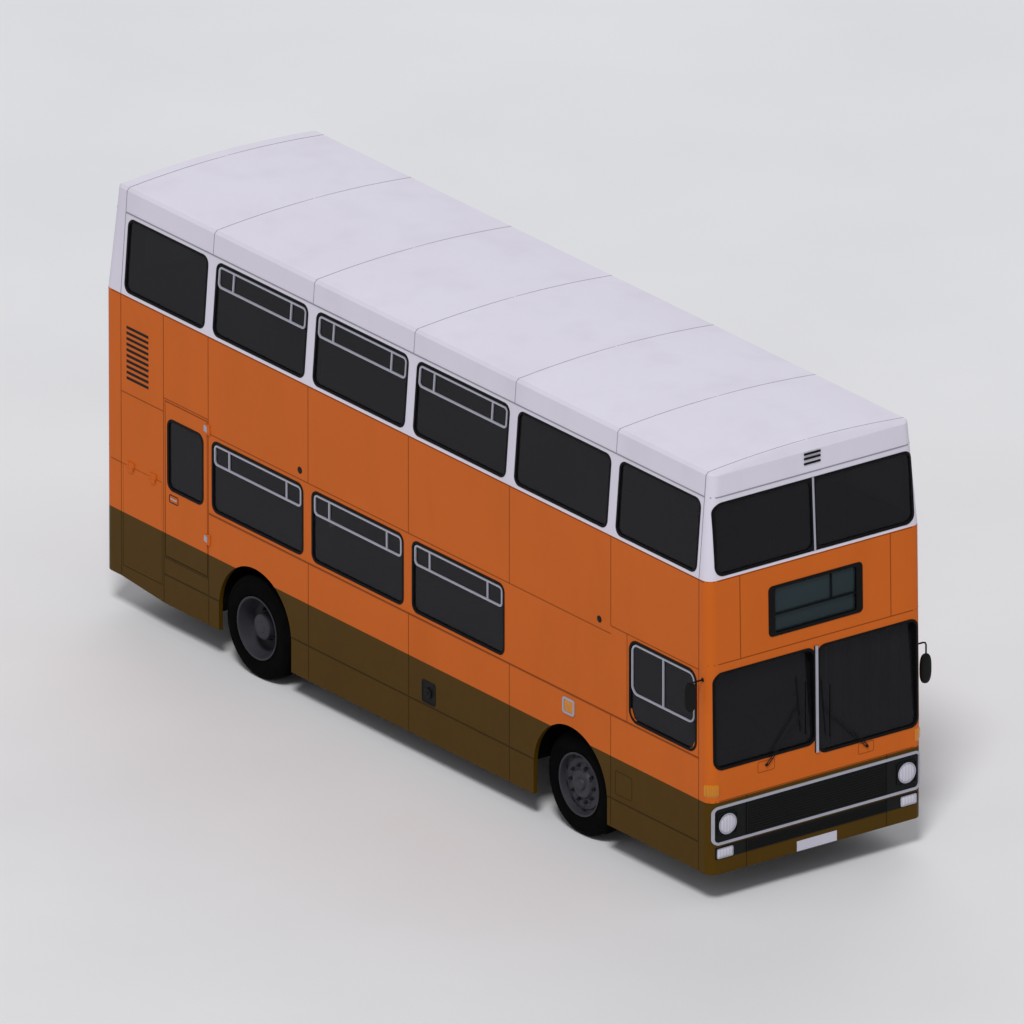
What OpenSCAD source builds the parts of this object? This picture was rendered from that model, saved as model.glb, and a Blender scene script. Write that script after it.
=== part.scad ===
// Double decker bus, rear engined, right-hand drive.
// Millimetres. +X forward, +Y to the nearside (left), +Z up.
// Origin on the ground, at mid-length, on the centreline.

/* [Overall] */
// Length over the front and rear panels
length = 9500; // [9000:10:11500]
// Width over the side panels
width = 2500; // [2400:10:2550]
// Height of the roof crown above the ground
height = 4350; // [4250:10:4500]
// Distance between the axles
wheelbase = 4950; // [4600:10:5700]
// Distance from the front panel to the front axle
front_overhang = 2166; // [2130:2:2400]

/* [Body shell] */
// Thickness of a wall, from outer skin to lining
wall = 45; // [35:1:55]
// Thickness of the window glass
glass = 6; // [4:1:10]
// Radius of the four vertical body corners
corner_r = 100; // [60:5:120]
// Height of the line between the skirt and the side panels
skirt_z = 1027; // [980:1:1060]
// Height of the waist line under the upper deck windows
waist_z = 3240; // [3200:5:3260]
// Height of the gutter line under the roof
gutter_z = 4057; // [4040:1:4070]
// How far the upper deck sides lean in between waist and gutter
tumblehome = 64; // [20:1:80]
// How far the upper deck front leans back between waist and gutter
front_lean = 45; // [20:1:60]
// How far the upper deck back leans forward between waist and gutter
rear_lean = 60; // [20:1:80]
// How far the top of the windscreen lies behind its foot
windscreen_rake = 72; // [40:1:90]
// Gap between neighbouring body panels
seam = 0.4; // [0.2:0.1:0.8]

/* [Windows] */
// Length of one window bay
bay = 1578; // [1500:2:1620]
// Width of the pillar between two saloon windows
pillar = 140; // [110:5:200]
// Sill height of the lower deck windows
lower_sill_z = 1497; // [1400:1:1550]
// Head height of the lower deck windows
lower_head_z = 2213; // [2100:1:2240]
// Sill height of the upper deck windows
upper_sill_z = 3290; // [3270:1:3340]
// Head height of the upper deck windows
upper_head_z = 4010; // [3900:1:4030]
// Corner radius of the saloon windows
window_r = 80; // [40:5:120]

/* [Decks] */
// Height of the lower deck floor
lower_deck_z = 620; // [560:5:660]
// Height of the upper deck floor
upper_deck_z = 2540; // [2480:5:2600]
// Thickness of each deck floor
deck_t = 60; // [40:5:80]
// Height of the entrance step
step_z = 330; // [300:5:360]
// Distance between seat rows
seat_pitch = 760; // [720:10:820]

/* [Wheels] */
// Radius of the tyres
tyre_r = 510; // [480:1:530]
// Width of each tyre
tyre_w = 280; // [250:2:290]
// Radius of the wheel rims
rim_r = 300; // [270:1:320]
// Radius of the wheel arches
arch_r = 573; // [560:1:590]
// Gap between a rear tyre's outer face and the body side
rear_inset = 16; // [10:1:40]
// Gap between a front tyre's outer face and the body side
front_inset = 96; // [90:1:130]
// Distance from a front wheel's middle to its kingpin
kingpin_offset = 204; // [190:1:230]
// Radius of the kingpins
kingpin_r = 25; // [18:1:32]
// Radius of the stub axles
stub_r = 45; // [35:1:55]
// Length of the steering arms
steer_arm = 190; // [160:5:220]

/* [Doors] */
// Width of the entrance opening
entrance_w = 1200; // [1100:5:1240]
// Head height of the entrance opening
entrance_head_z = 2300; // [2200:5:2340]
// Thickness of the entrance door leaves
leaf_t = 32; // [26:1:36]
// Width of the emergency door opening
exit_w = 667; // [600:1:680]
// Gap round a hinged panel
door_gap = 6; // [5.5:0.5:8]
// Radius of the hinge pins
hinge_pin_r = 4; // [3:0.5:5]
// Clearance of a pin in its hole
fit = 0.3; // [0.2:0.05:0.4]

/* [Fittings] */
// Radius of the round headlamps
headlamp_r = 100; // [80:1:110]
// Height of the headlamps
headlamp_z = 802; // [790:1:810]
// Bore of the towing eyes
towing_bore_r = 20; // [12:1:28]
// Diameter of the steering wheel rim
steering_wheel_d = 520; // [440:5:560]

/* [Hidden] */
$fn = 48;

// Paint and material colours
orange = [0.72, 0.36, 0.15];
brown = [0.30, 0.22, 0.02];
white = [0.85, 0.84, 0.88];
dark = [0.08, 0.08, 0.09];
steel = [0.55, 0.56, 0.60];
tint = [0.14, 0.14, 0.16, 0.6];
moquette = [0.42, 0.20, 0.10];

// Planes of the body
eps = 0.2;
rest = 0.3;
glass_in = 12;
through = 400;
half_w = width / 2;
front_x = length / 2;
rear_x = -length / 2;
front_axle_x = front_x - front_overhang;
rear_axle_x = front_axle_x - wheelbase;
side_front_x = front_x - 176;
side_rear_x = rear_x + 264;
corner_n = 8;

// The front face leans back a little above the grille
brow_z = 2410;
brow_x = front_x - 19;
waist_front_x = front_x - 36;
shoulder_z = height - 83;
shoulder_in = tumblehome * (shoulder_z - waist_z) / (gutter_z - waist_z);

// Seams between the window bays, counted forward from the rear
first_seam_x = side_front_x - 1363;
seam_x = [side_rear_x, first_seam_x - 4 * bay, first_seam_x - 3 * bay,
          first_seam_x - 2 * bay, first_seam_x - bay, first_seam_x, side_front_x];
exit_x1 = seam_x[1] - 18;
exit_x0 = exit_x1 - exit_w;
exit_z0 = 795;
exit_z1 = 2375;
flap_x0 = side_rear_x + 33;
flap_x1 = exit_x0 - 57;
flap_z0 = 485;
flap_z1 = 1525;
cab_x0 = first_seam_x + 296;
cab_x1 = side_front_x - 40;
entrance_x1 = side_front_x - 84;
entrance_x0 = entrance_x1 - entrance_w;
cover_hw = half_w - 370;
cover_z0 = 480;
cover_z1 = 1560;
front_wheel_y = half_w - front_inset - tyre_w / 2;
kingpin_y = front_wheel_y - kingpin_offset;
twin_gap = 40;
rear_outer_y = half_w - rear_inset - tyre_w / 2;
rear_inner_y = rear_outer_y - tyre_w - twin_gap;
rail_to_tyre = 204;
frame_y = rear_inner_y - tyre_w / 2 - rail_to_tyre;
lower_inside = half_w - wall;
box_top_z = 1110;
front_box_y = kingpin_y - 270;
front_box_x = 640;
rear_box_y = rear_inner_y - tyre_w / 2 - 40;
rear_box_x = 585;
grille_z0 = 620;
grille_z1 = 980;
grille_r = 40;
grille_hw = half_w - 120;
air_slot = [460, 584];
air_slot_r = 20;

// ---- outlines and shells ----

// Points of a rectangle with rounded corners
function rounded(x0, x1, y0, y1, r, n = 6) = [
    for (q = [0:3])
        let (cx = (q == 0 || q == 3) ? x1 - r : x0 + r, cy = q < 2 ? y1 - r : y0 + r)
            for (i = [0:n]) [cx + r * cos(90 * (q + i / n)), cy + r * sin(90 * (q + i / n))]
];

// A flat outline in X and Z, pushed through the side wall at y0..y1
module through_side(points, y0, y1) {
    translate([0, y1, 0])
        rotate([90, 0, 0])
            linear_extrude(y1 - y0)
                polygon(points);
}

// A flat outline in Y and Z, pushed along X from x0 to x1
module through_end(points, x0, x1) {
    translate([x0, 0, 0])
        rotate([90, 0, 90])
            linear_extrude(x1 - x0)
                polygon(points);
}

// One thin slice of the body: z, front x, rear x, half width
module slice(s, inset) {
    r = max(corner_r - inset, 20);
    translate([0, 0, s[0]])
        linear_extrude(eps)
            polygon(rounded(s[2] + inset, s[1] - inset, -s[3] + inset, s[3] - inset, r, corner_n));
}

// A shell through a list of slices, with its wall inside
module shell(slices, t = wall, inset = 0) {
    difference() {
        hull()
            for (s = slices)
                slice(s, inset);
        hull()
            for (k = [0:len(slices) - 1])
                translate([0, 0, k == 0 ? -1 : (k == len(slices) - 1 ? 1 : 0)])
                    slice(slices[k], inset + t);
    }
}

// A box from corner to corner
module block(a, b) {
    translate(a)
        cube([b[0] - a[0], b[1] - a[1], b[2] - a[2]]);
}

// A round bar along Y from y0 to y1
module bar_y(x, z, r, y0, y1) {
    translate([x, y0, z])
        rotate([-90, 0, 0])
            cylinder(r = r, h = y1 - y0);
}

// A round bar along X from x0 to x1
module bar_x(y, z, r, x0, x1) {
    translate([x0, y, z])
        rotate([0, 90, 0])
            cylinder(r = r, h = x1 - x0);
}

// A round bar along Z from z0 to z1
module bar_z(x, y, r, z0, z1) {
    translate([x, y, z0])
        cylinder(r = r, h = z1 - z0);
}

// Body stations: z, front x, rear x, half width
foot = [310, front_x, rear_x, half_w];
sill = [1300, front_x, rear_x, half_w];
brow = [brow_z, brow_x, rear_x, half_w];
waist = [waist_z, waist_front_x, rear_x, half_w];
gutter = [gutter_z, waist_front_x - front_lean, rear_x + rear_lean, half_w - tumblehome];
shoulder = [shoulder_z, waist_front_x - front_lean - 12, rear_x + rear_lean + 12, half_w - shoulder_in];

function lifted(s, dz) = [s[0] + dz, s[1], s[2], s[3]];

// ---- windows ----

// Outline of a lower deck window
function lower_window(x0, x1, inset = 0) =
    rounded(x0 + inset, x1 - inset, lower_sill_z + inset, lower_head_z - inset, window_r - inset);

// Outline of an upper deck window
function upper_window(x0, x1, inset = 0) =
    rounded(x0 + inset, x1 - inset, upper_sill_z + inset, upper_head_z - inset, window_r - inset);

offside_lower = [for (i = [1:3]) [seam_x[i] + pillar / 2 - 8, seam_x[i + 1] - pillar / 2 - 10]];
nearside_lower = [for (i = [1:4]) [seam_x[i] + pillar / 2 - 8, seam_x[i + 1] - pillar / 2 - 10]];
upper_bays = [for (i = [0:5])
    [seam_x[i] + (i == 0 ? 55 : pillar / 2), seam_x[i + 1] - (i == 5 ? 48 : pillar / 2)]];
cab_window = [[cab_x0, 1640], [cab_x0 + 60, 1520], [cab_x0 + 150, 1490], [cab_x1 - 150, 1490],
              [cab_x1 - 60, 1520], [cab_x1, 1640], [cab_x1, 2220], [cab_x1 - 80, 2300],
              [cab_x0 + 80, 2300], [cab_x0, 2220]];

// Outline of the emergency door's window
function exit_window(inset = 0) =
    rounded(exit_x0 + 40 + inset, exit_x1 - 64 - inset, lower_sill_z + inset, lower_head_z - inset, window_r);

// End windows as [y0, y1, z0, z1, corner radius]
end_pane_r = 90;
screen_hw = half_w - 60;
upper_front_hw = half_w - 95;
upper_end_z = [upper_sill_z, upper_head_z - 20];
windscreen_right = [-screen_hw, -18, 1361, 2314, end_pane_r];
windscreen_left = [18, screen_hw, 1249, 2314, end_pane_r];
front_upper_right = [-upper_front_hw, -14, upper_end_z[0], upper_end_z[1], end_pane_r];
front_upper_left = [14, upper_front_hw, upper_end_z[0], upper_end_z[1], end_pane_r];
blind = [-490, 490, 2556, 3024, 40];
rear_lower_window = [390 - half_w, half_w - 390, 1760, 2240, 80];
rear_upper_window = [430 - half_w, half_w - 430, upper_end_z[0], upper_end_z[1], end_pane_r];

// Outline of an end window, set in by inset on each side
function end_window(w, inset = 0) = rounded(w[0] + inset, w[1] - inset, w[2] + inset, w[3] - inset, w[4]);

// Cross-section of an upper side wall, from the waist to the gutter
function upper_wall(y_sign, in0, in1, z0, z1) =
    let (k = tumblehome / (gutter_z - waist_z), d0 = (z0 - waist_z) * k, d1 = (z1 - waist_z) * k)
        [[y_sign * (half_w - d0 - in0), z0], [y_sign * (half_w - d1 - in0), z1],
         [y_sign * (half_w - d1 - in1), z1], [y_sign * (half_w - d0 - in1), z0]];

// ---- chassis ----

axle_drop_z = tyre_r;
axle_seat_r = 45;
frame_z0 = axle_drop_z - 70;
frame_z1 = lower_deck_z - deck_t - 0.3;

// Frame rails with the holes that hold the axles
module frame_rails() {
    difference() {
        for (s = [-1, 1])
            block([rear_x + 120, s * frame_y - 40, frame_z0], [front_x - 120, s * frame_y + 40, frame_z1]);
        for (a = [front_axle_x, rear_axle_x])
            bar_y(a, axle_drop_z, axle_seat_r + fit, -frame_y - 50, frame_y + 50);
    }
}

// Lug with a towing bore at the front end of each rail
module towing_eyes() {
    difference() {
        for (s = [-1, 1])
            block([front_x - 125, s * frame_y - 32, frame_z0],
                  [front_x - 55, s * frame_y + 32, frame_z0 + 90]);
        for (s = [-1, 1])
            bar_z(front_x - 88, s * frame_y, towing_bore_r, frame_z0 - 5, frame_z0 + 95);
    }
}

cross_members = [rear_x + 150, rear_x + 1150, rear_axle_x + 800, -700, 700,
                 front_axle_x - 760, front_axle_x + 760, front_x - 240];

module chassis_frame() {
    color(dark) {
        frame_rails();
        towing_eyes();
        for (x = cross_members)
            block([x, -frame_y + 30, frame_z0 + 10], [x + 80, frame_y - 30, frame_z1 - 10]);
        for (s = [-1, 1]) {
            for (x = [rear_axle_x - 700, rear_axle_x + 700, -600, 600])
                block([x, min(s * (frame_y + 30), s * (lower_inside - 0.4)), frame_z0 + 20],
                      [x + 60, max(s * (frame_y + 30), s * (lower_inside - 0.4)), frame_z1 - 12]);
            for (a = [front_axle_x, rear_axle_x])
                block([a - 60, s * frame_y - 36, frame_z0 - 60], [a + 60, s * frame_y + 36, frame_z0 + 5]);
        }
    }
}

// The space of one wheel box, grown sideways by out: a is the axle's x, s the side
module wheel_box_space(a, s, half_x, inner_y, out, z0, z1) {
    y_in = s * (inner_y - out);
    y_out = s * (lower_inside - seam + (out > 0 ? 0 : 1));
    block([a - half_x - out, min(y_in, y_out), z0], [a + half_x + out, max(y_in, y_out), z1]);
}

box_wall = 25;

module wheel_box(a, s, half_x, inner_y) {
    difference() {
        wheel_box_space(a, s, half_x, inner_y, box_wall, lower_deck_z - deck_t, box_top_z + box_wall);
        wheel_box_space(a, s, half_x, inner_y, 0, lower_deck_z - deck_t - 1, box_top_z);
    }
}

module wheel_boxes() {
    color(steel)
        for (s = [-1, 1]) {
            wheel_box(front_axle_x, s, front_box_x, front_box_y);
            wheel_box(rear_axle_x, s, rear_box_x, rear_box_y);
        }
}

well_y = half_w - 420;
riser_t = 25;
step_t = 30;

module lower_deck_floor() {
    room = box_wall + seam;
    edge = riser_t + seam;
    color(steel)
        difference() {
            block([side_rear_x + 700, -lower_inside + seam, lower_deck_z - deck_t],
                  [side_front_x - 1, lower_inside - seam, lower_deck_z]);
            for (s = [-1, 1]) {
                wheel_box_space(front_axle_x, s, front_box_x, front_box_y, room, 0, lower_deck_z + 1);
                wheel_box_space(rear_axle_x, s, rear_box_x, rear_box_y, room, 0, lower_deck_z + 1);
            }
            block([entrance_x0 - edge, well_y - edge, 0], [entrance_x1 + edge, half_w, lower_deck_z + 1]);
        }
}

// The step inside the entrance, its riser and side plates, and the sill under the doors
module entrance_step() {
    bottom = step_z - step_t;
    color(steel) {
        block([entrance_x0 - riser_t, well_y - riser_t, bottom],
              [entrance_x1 + riser_t, well_y, lower_deck_z]);
        for (x = [entrance_x0 - riser_t, entrance_x1])
            block([x, well_y - 1, bottom], [x + riser_t, lower_inside - seam, lower_deck_z]);
        block([entrance_x0 - 1, well_y - 1, bottom], [entrance_x1 + 1, lower_inside - seam, step_z]);
        block([entrance_x0 + seam, lower_inside - 1, bottom], [entrance_x1 - seam, half_w, step_z]);
    }
}

stairs_x0 = front_axle_x - 900;
stairs_x1 = stairs_x0 + 1750;
stairs_y1 = -430;

module upper_deck_floor() {
    color(steel)
        difference() {
            block([side_rear_x - 150, -lower_inside + seam, upper_deck_z - deck_t],
                  [waist_front_x - 140, lower_inside - seam, upper_deck_z]);
            block([stairs_x0, -lower_inside - 1, upper_deck_z - deck_t - 1],
                  [stairs_x1, stairs_y1, upper_deck_z + 1]);
        }
}

// ---- lower side walls ----

// Wheel arches cut through one side
module arches(y0, y1) {
    for (a = [front_axle_x, rear_axle_x]) {
        bar_y(a, box_top_z + 10 - arch_r, arch_r, y0, y1);
        block([a - arch_r, y0, 0], [a + arch_r, y1, box_top_z + 10 - arch_r]);
    }
}

module skirt(side) {
    y0 = side > 0 ? lower_inside : -half_w;
    y1 = side > 0 ? half_w : -lower_inside;
    difference() {
        through_side([[seam_x[0], 375], [seam_x[0] + 700, 313], [rear_axle_x, 313], [rear_axle_x, 255],
                      [front_axle_x, 255], [front_axle_x, 320], [side_front_x - seam, 315],
                      [side_front_x - seam, skirt_z - seam], [seam_x[0], skirt_z - seam]], y0, y1);
        arches(y0 - 1, y1 + 1);
        if (side > 0)
            block([entrance_x0, y0 - 1, 0], [entrance_x1, y1 + 1, skirt_z + 1]);
        if (side < 0) {
            block([exit_x0 - door_gap, y0 - 1, exit_z0], [exit_x1 + door_gap, y1 + 1, skirt_z + 1]);
            block([flap_x0 - door_gap, y0 - 1, flap_z0], [flap_x1 + door_gap, y1 + 1, skirt_z + 1]);
        }
    }
}

module offside_skirt() {
    color(brown) skirt(-1);
}

module nearside_skirt() {
    color(brown) skirt(1);
}

// A hinge drawn with its pin along Z, the panels behind it in +Y and the fixed panel in +X.
// The fixed half is two lugs and the pin, and the moving half is a barrel with a bore.
hinge_out = 10;
lug_reach = 46;

module hinge_fixed() {
    bar_z(0, 0, hinge_pin_r, -50, 50);
    for (k = [-1, 1]) {
        block([-5, -5, k * 42 - 8], [lug_reach, 5, k * 42 + 8]);
        block([8, 4, k * 42 - 8], [lug_reach, hinge_out + 1, k * 42 + 8]);
    }
}

module hinge_moving() {
    difference() {
        union() {
            bar_z(0, 0, hinge_pin_r + 4.5, -32, 32);
            block([-50, -4, -32], [0, 4, 32]);
            block([-50, 3, -32], [-8, hinge_out + 1, 32]);
        }
        bar_z(0, 0, hinge_pin_r + fit, -33, 33);
    }
}

exit_hinge_x = exit_x1 + door_gap / 2;
exit_hinge_y = -half_w - hinge_out;
exit_hinge_z = [1180, 2300];

module lower_side(side) {
    y0 = side > 0 ? lower_inside : -half_w;
    y1 = side > 0 ? half_w : -lower_inside;
    difference() {
        block([seam_x[0], y0, skirt_z], [side_front_x - seam, y1, waist_z - seam]);
        arches(y0 - 1, y1 + 1);
        for (w = side > 0 ? nearside_lower : offside_lower)
            through_side(lower_window(w[0], w[1]), y0 - 1, y1 + 1);
        if (side > 0) {
            block([entrance_x0, y0 - 1, skirt_z - 1], [entrance_x1, y1 + 1, entrance_head_z]);
            // joints between the bay panels, the door head and the two door posts
            block([first_seam_x, y0 - 1, skirt_z - 1], [first_seam_x + seam, y1 + 1, waist_z]);
            block([first_seam_x, y0 - 1, entrance_head_z - seam], [side_front_x, y1 + 1, entrance_head_z]);
        }
        if (side < 0) {
            block([exit_x0 - door_gap, y0 - 1, skirt_z - 1],
                  [exit_x1 + door_gap, y1 + 1, exit_z1 + door_gap]);
            block([flap_x0 - door_gap, y0 - 1, skirt_z - 1],
                  [flap_x1 + door_gap, y1 + 1, flap_z1 + door_gap]);
            through_side(cab_window, y0 - 1, y1 + 1);
        }
    }
}

module offside_lower_side() {
    color(orange) {
        lower_side(-1);
        for (z = exit_hinge_z)
            translate([exit_hinge_x, exit_hinge_y, z])
                hinge_fixed();
        for (x = flap_hinge_x)
            flap_hinge(x)
                hinge_fixed();
    }
}

module nearside_lower_side() {
    color(orange) lower_side(1);
}

// ---- upper side walls ----

module upper_side(side) {
    difference() {
        through_end(upper_wall(side, 0, wall, waist_z, gutter_z - seam), seam_x[0], side_front_x - seam);
        for (w = upper_bays)
            through_side(upper_window(w[0], w[1]), side > 0 ? half_w - through : -half_w - 1,
                         side > 0 ? half_w + 1 : -half_w + through);
    }
}

module offside_upper_side() {
    color(white) upper_side(-1);
}

module nearside_upper_side() {
    color(white) upper_side(1);
}

// Cross-section of the roof: a crown that rises to the middle, closed below
crown_steps = 8;
function crown(hw, z0, rise) = concat(
    [for (i = [-crown_steps:crown_steps]) [hw * i / crown_steps, z0 + rise * (1 - pow(i / crown_steps, 2))]],
    [[0, gutter_z + 20]]);
crown_z = shoulder_z + 28;

module roof() {
    color(white)
        difference() {
            hull() {
                slice(gutter, 0);
                slice(shoulder, 0);
                intersection() {
                    through_end(crown(shoulder[3] - 30, crown_z, height - crown_z),
                                shoulder[2] + 60, shoulder[1] - 60);
                    block([rear_x, -half_w, gutter_z], [front_x, half_w, height]);
                }
            }
            hull() {
                translate([0, 0, -1]) slice(gutter, wall);
                slice([shoulder[0] - wall, shoulder[1], shoulder[2], shoulder[3]], wall);
                through_end(crown(shoulder[3] - 80, shoulder_z - wall + 5, height - shoulder_z - 5),
                            shoulder[2] + 110, shoulder[1] - 110);
            }
        }
}

// ---- front panels ----

module front_part() {
    intersection() {
        children();
        block([side_front_x, -half_w - 1, 0], [front_x + 1, half_w + 1, height]);
    }
}

module rear_part() {
    intersection() {
        children();
        block([rear_x - 1, -half_w - 1, 0], [side_rear_x - seam, half_w + 1, height]);
    }
}

grille_opening = [-grille_hw, grille_hw, grille_z0, grille_z1, grille_r];
air_slot_opening = [-grille_hw, grille_hw, air_slot[0], air_slot[1], air_slot_r];

module front_lower_panel() {
    color(orange)
        difference() {
            front_part() shell([foot, sill, lifted(brow, -seam)]);
            for (w = [windscreen_right, windscreen_left])
                through_end(end_window(w), side_front_x - 50, front_x + 1);
            for (g = [grille_opening, air_slot_opening])
                through_end(end_window(g), side_front_x + 50, front_x + 1);
        }
}

module destination_panel() {
    color(orange)
        difference() {
            front_part() shell([brow, lifted(waist, -seam)]);
            through_end(end_window(blind), side_front_x, front_x + 1);
        }
}

module front_upper_panel() {
    color(white)
        difference() {
            front_part() shell([waist, lifted(gutter, -seam)]);
            for (w = [front_upper_right, front_upper_left])
                through_end(end_window(w), side_front_x, front_x + 1);
        }
}

// ---- rear panels ----

rear_foot = [375, front_x, rear_x, half_w];
cover_hinge_x = rear_x - hinge_out;
cover_hinge_z = cover_z1 + door_gap / 2;
cover_hinge_y = [-600, 600];

module rear_lower_panel() {
    color(orange)
        difference() {
            rear_part() shell([rear_foot, lifted(waist, -seam)]);
            block([rear_x - 1, -cover_hw - door_gap, cover_z0],
                  [rear_x + wall + 1, cover_hw + door_gap, cover_z1 + door_gap]);
            through_end(end_window(rear_lower_window), rear_x - 1, rear_x + wall + 1);
        }
    color(orange)
        for (y = cover_hinge_y)
            cover_hinge(y)
                hinge_fixed();
}

// Places a hinge at the top of the engine cover: pin along Y, panels in +X, fixed panel above
module cover_hinge(y) {
    translate([cover_hinge_x, y, cover_hinge_z])
        multmatrix([[0, 1, 0, 0], [0, 0, 1, 0], [1, 0, 0, 0], [0, 0, 0, 1]])
            children();
}

module engine_cover() {
    color(orange) {
        block([rear_x, -cover_hw, cover_z0 + door_gap], [rear_x + wall, cover_hw, cover_z1]);
        for (y = cover_hinge_y)
            cover_hinge(y)
                hinge_moving();
    }
}

// Hinges of the engine side flap
flap_hinge_x = [flap_x0 + 130, flap_x1 - 130];
flap_hinge_y = -half_w - hinge_out;
flap_hinge_z = flap_z1 + door_gap / 2;

// Places a hinge at the top of the flap: pin along X, panels in +Y, fixed panel above
module flap_hinge(x) {
    translate([x, flap_hinge_y, flap_hinge_z])
        rotate([0, -90, 0])
            children();
}

module engine_side_flap() {
    color(orange) {
        block([flap_x0, -half_w, flap_z0 + door_gap], [flap_x1, -lower_inside, flap_z1]);
        for (x = flap_hinge_x)
            flap_hinge(x)
                hinge_moving();
    }
}

module emergency_door() {
    color(orange) {
        difference() {
            block([exit_x0, -half_w, exit_z0 + door_gap], [exit_x1, -lower_inside, exit_z1]);
            through_side(exit_window(), -half_w - 1, -lower_inside + 1);
        }
        for (z = exit_hinge_z)
            translate([exit_hinge_x, exit_hinge_y, z])
                hinge_moving();
    }
    color(tint)
        through_side(exit_window(rest), -half_w + glass_in, -half_w + glass_in + glass);
}

module rear_upper_panel() {
    color(white)
        difference() {
            rear_part() shell([waist, lifted(gutter, -seam)]);
            through_end(end_window(rear_upper_window), rear_x - 1, rear_x + 200);
        }
}

// ---- glass ----

module windscreen() {
    // the rake is measured over the height of the left pane
    slope = windscreen_rake / (windscreen_left[3] - windscreen_left[2]);
    foot_glass = [1200, front_x - glass_in, rear_x, half_w - glass_in];
    head_glass = [2400, foot_glass[1] - slope * 1200, rear_x, foot_glass[3]];
    color(tint)
        intersection() {
            shell([foot_glass, head_glass], glass);
            union()
                for (w = [windscreen_right, windscreen_left])
                    through_end(end_window(w, rest), side_front_x - 20, front_x);
        }
}

module lower_deck_windows() {
    color(tint) {
        for (w = offside_lower)
            through_side(lower_window(w[0], w[1], rest), -half_w + glass_in, -half_w + glass_in + glass);
        for (w = nearside_lower)
            through_side(lower_window(w[0], w[1], rest), half_w - glass_in - glass, half_w - glass_in);
        through_end(end_window(rear_lower_window, rest), rear_x + glass_in, rear_x + glass_in + glass);
        intersection() {
            through_side(cab_window, -half_w + glass_in, -half_w + glass_in + glass);
            block([cab_x0 + rest, -half_w, 1490 + rest], [cab_x1 - rest, 0, 2300 - rest]);
        }
    }
}

module upper_deck_windows() {
    color(tint) {
        for (s = [-1, 1])
            for (w = upper_bays)
                intersection() {
                    through_end(upper_wall(s, glass_in, glass_in + glass, upper_sill_z, upper_head_z),
                                w[0], w[1]);
                    through_side(upper_window(w[0], w[1], rest), -half_w, half_w);
                }
        intersection() {
            shell([waist, gutter], glass, glass_in);
            union() {
                for (w = [front_upper_right, front_upper_left])
                    through_end(end_window(w, rest), 0, front_x);
                through_end(end_window(rear_upper_window, rest), rear_x, 0);
            }
        }
    }
}

module destination_display() {
    color(dark)
        through_end(end_window(blind, rest), waist_front_x - wall, waist_front_x - 10);
}

// ---- front fittings ----

lamp_y = half_w - 200;
lamp_body_r = headlamp_r - 25;
fog_y = half_w - 190;
fog_hw = 60;
fog_z = [470, 570];
grille_set = 14;

module grille() {
    color(dark)
        difference() {
            union()
                for (g = [grille_opening, air_slot_opening])
                    through_end(end_window(g, rest), front_x - wall, front_x - grille_set);
            for (s = [-1, 1]) {
                bar_x(s * lamp_y, headlamp_z, lamp_body_r + rest, front_x - wall - 1, front_x);
                block([front_x - wall - 1, s * fog_y - fog_hw, fog_z[0]],
                      [front_x, s * fog_y + fog_hw, fog_z[1]]);
            }
        }
}

module front_lamps() {
    color("white")
        for (s = [-1, 1]) {
            bar_x(s * lamp_y, headlamp_z, lamp_body_r, front_x - wall - 30, front_x - 4);
            block([front_x - wall, s * fog_y - fog_hw + rest, fog_z[0] + rest],
                  [front_x - 6, s * fog_y + fog_hw - rest, fog_z[1] - rest]);
        }
}

turn_lamp_y = half_w - 230;
turn_lamp_hw = 70;
turn_lamp_z = [1084, 1215];
side_lamp_x = [front_axle_x - 110, front_axle_x + 66];
side_lamp_z = [1240, 1393];

module indicator_lamps() {
    color("orange")
        for (s = [-1, 1]) {
            block([front_x + rest, s * turn_lamp_y - turn_lamp_hw, turn_lamp_z[0]],
                  [front_x + rest + 8, s * turn_lamp_y + turn_lamp_hw, turn_lamp_z[1]]);
            block([side_lamp_x[0], s * (half_w + rest + 5) - 5, side_lamp_z[0]],
                  [side_lamp_x[1], s * (half_w + rest + 5) + 5, side_lamp_z[1]]);
        }
}

rear_lamp_y = half_w - 210;
rear_lamp_hw = 55;

module rear_lamps() {
    color("red")
        for (s = [-1, 1])
            block([rear_x - rest - 14, s * rear_lamp_y - rear_lamp_hw, 640],
                  [rear_x - rest, s * rear_lamp_y + rear_lamp_hw, 1070]);
}

module number_plates() {
    color("white") {
        block([front_x + rest, -233, 318], [front_x + rest + 6, 233, 418]);
        block([rear_x - rest - 6, -260, 1620], [rear_x - rest, 260, 1730]);
    }
}

// Oval head of a mirror, seen from the front
mirror_hw = 65;
mirror_hh = 150;
mirror_t = 40;

module mirror_head() {
    rotate([0, 90, 0])
        linear_extrude(mirror_t, center = true)
            polygon(rounded(-mirror_hh, mirror_hh, -mirror_hw, mirror_hw, mirror_hw - 5));
}

// A mirror head on a bent arm that leaves the body at arm_z
mirror_arm_r = 9;
mirror_out = 140;

module mirror(side, head_x, head_z, arm_z) {
    y_head = side * (half_w + mirror_out);
    translate([head_x, y_head, head_z])
        mirror_head();
    bar_z(head_x, y_head, mirror_arm_r, head_z + mirror_hh - 50, arm_z + mirror_arm_r);
    bar_y(head_x, arm_z, mirror_arm_r, side > 0 ? half_w + rest : y_head, side > 0 ? y_head : -half_w - rest);
}

module mirrors() {
    color(dark) {
        mirror(-1, side_front_x + 60, 2110, 2255);
        mirror(1, side_front_x + 30, 1720, 1990);
    }
}

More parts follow.
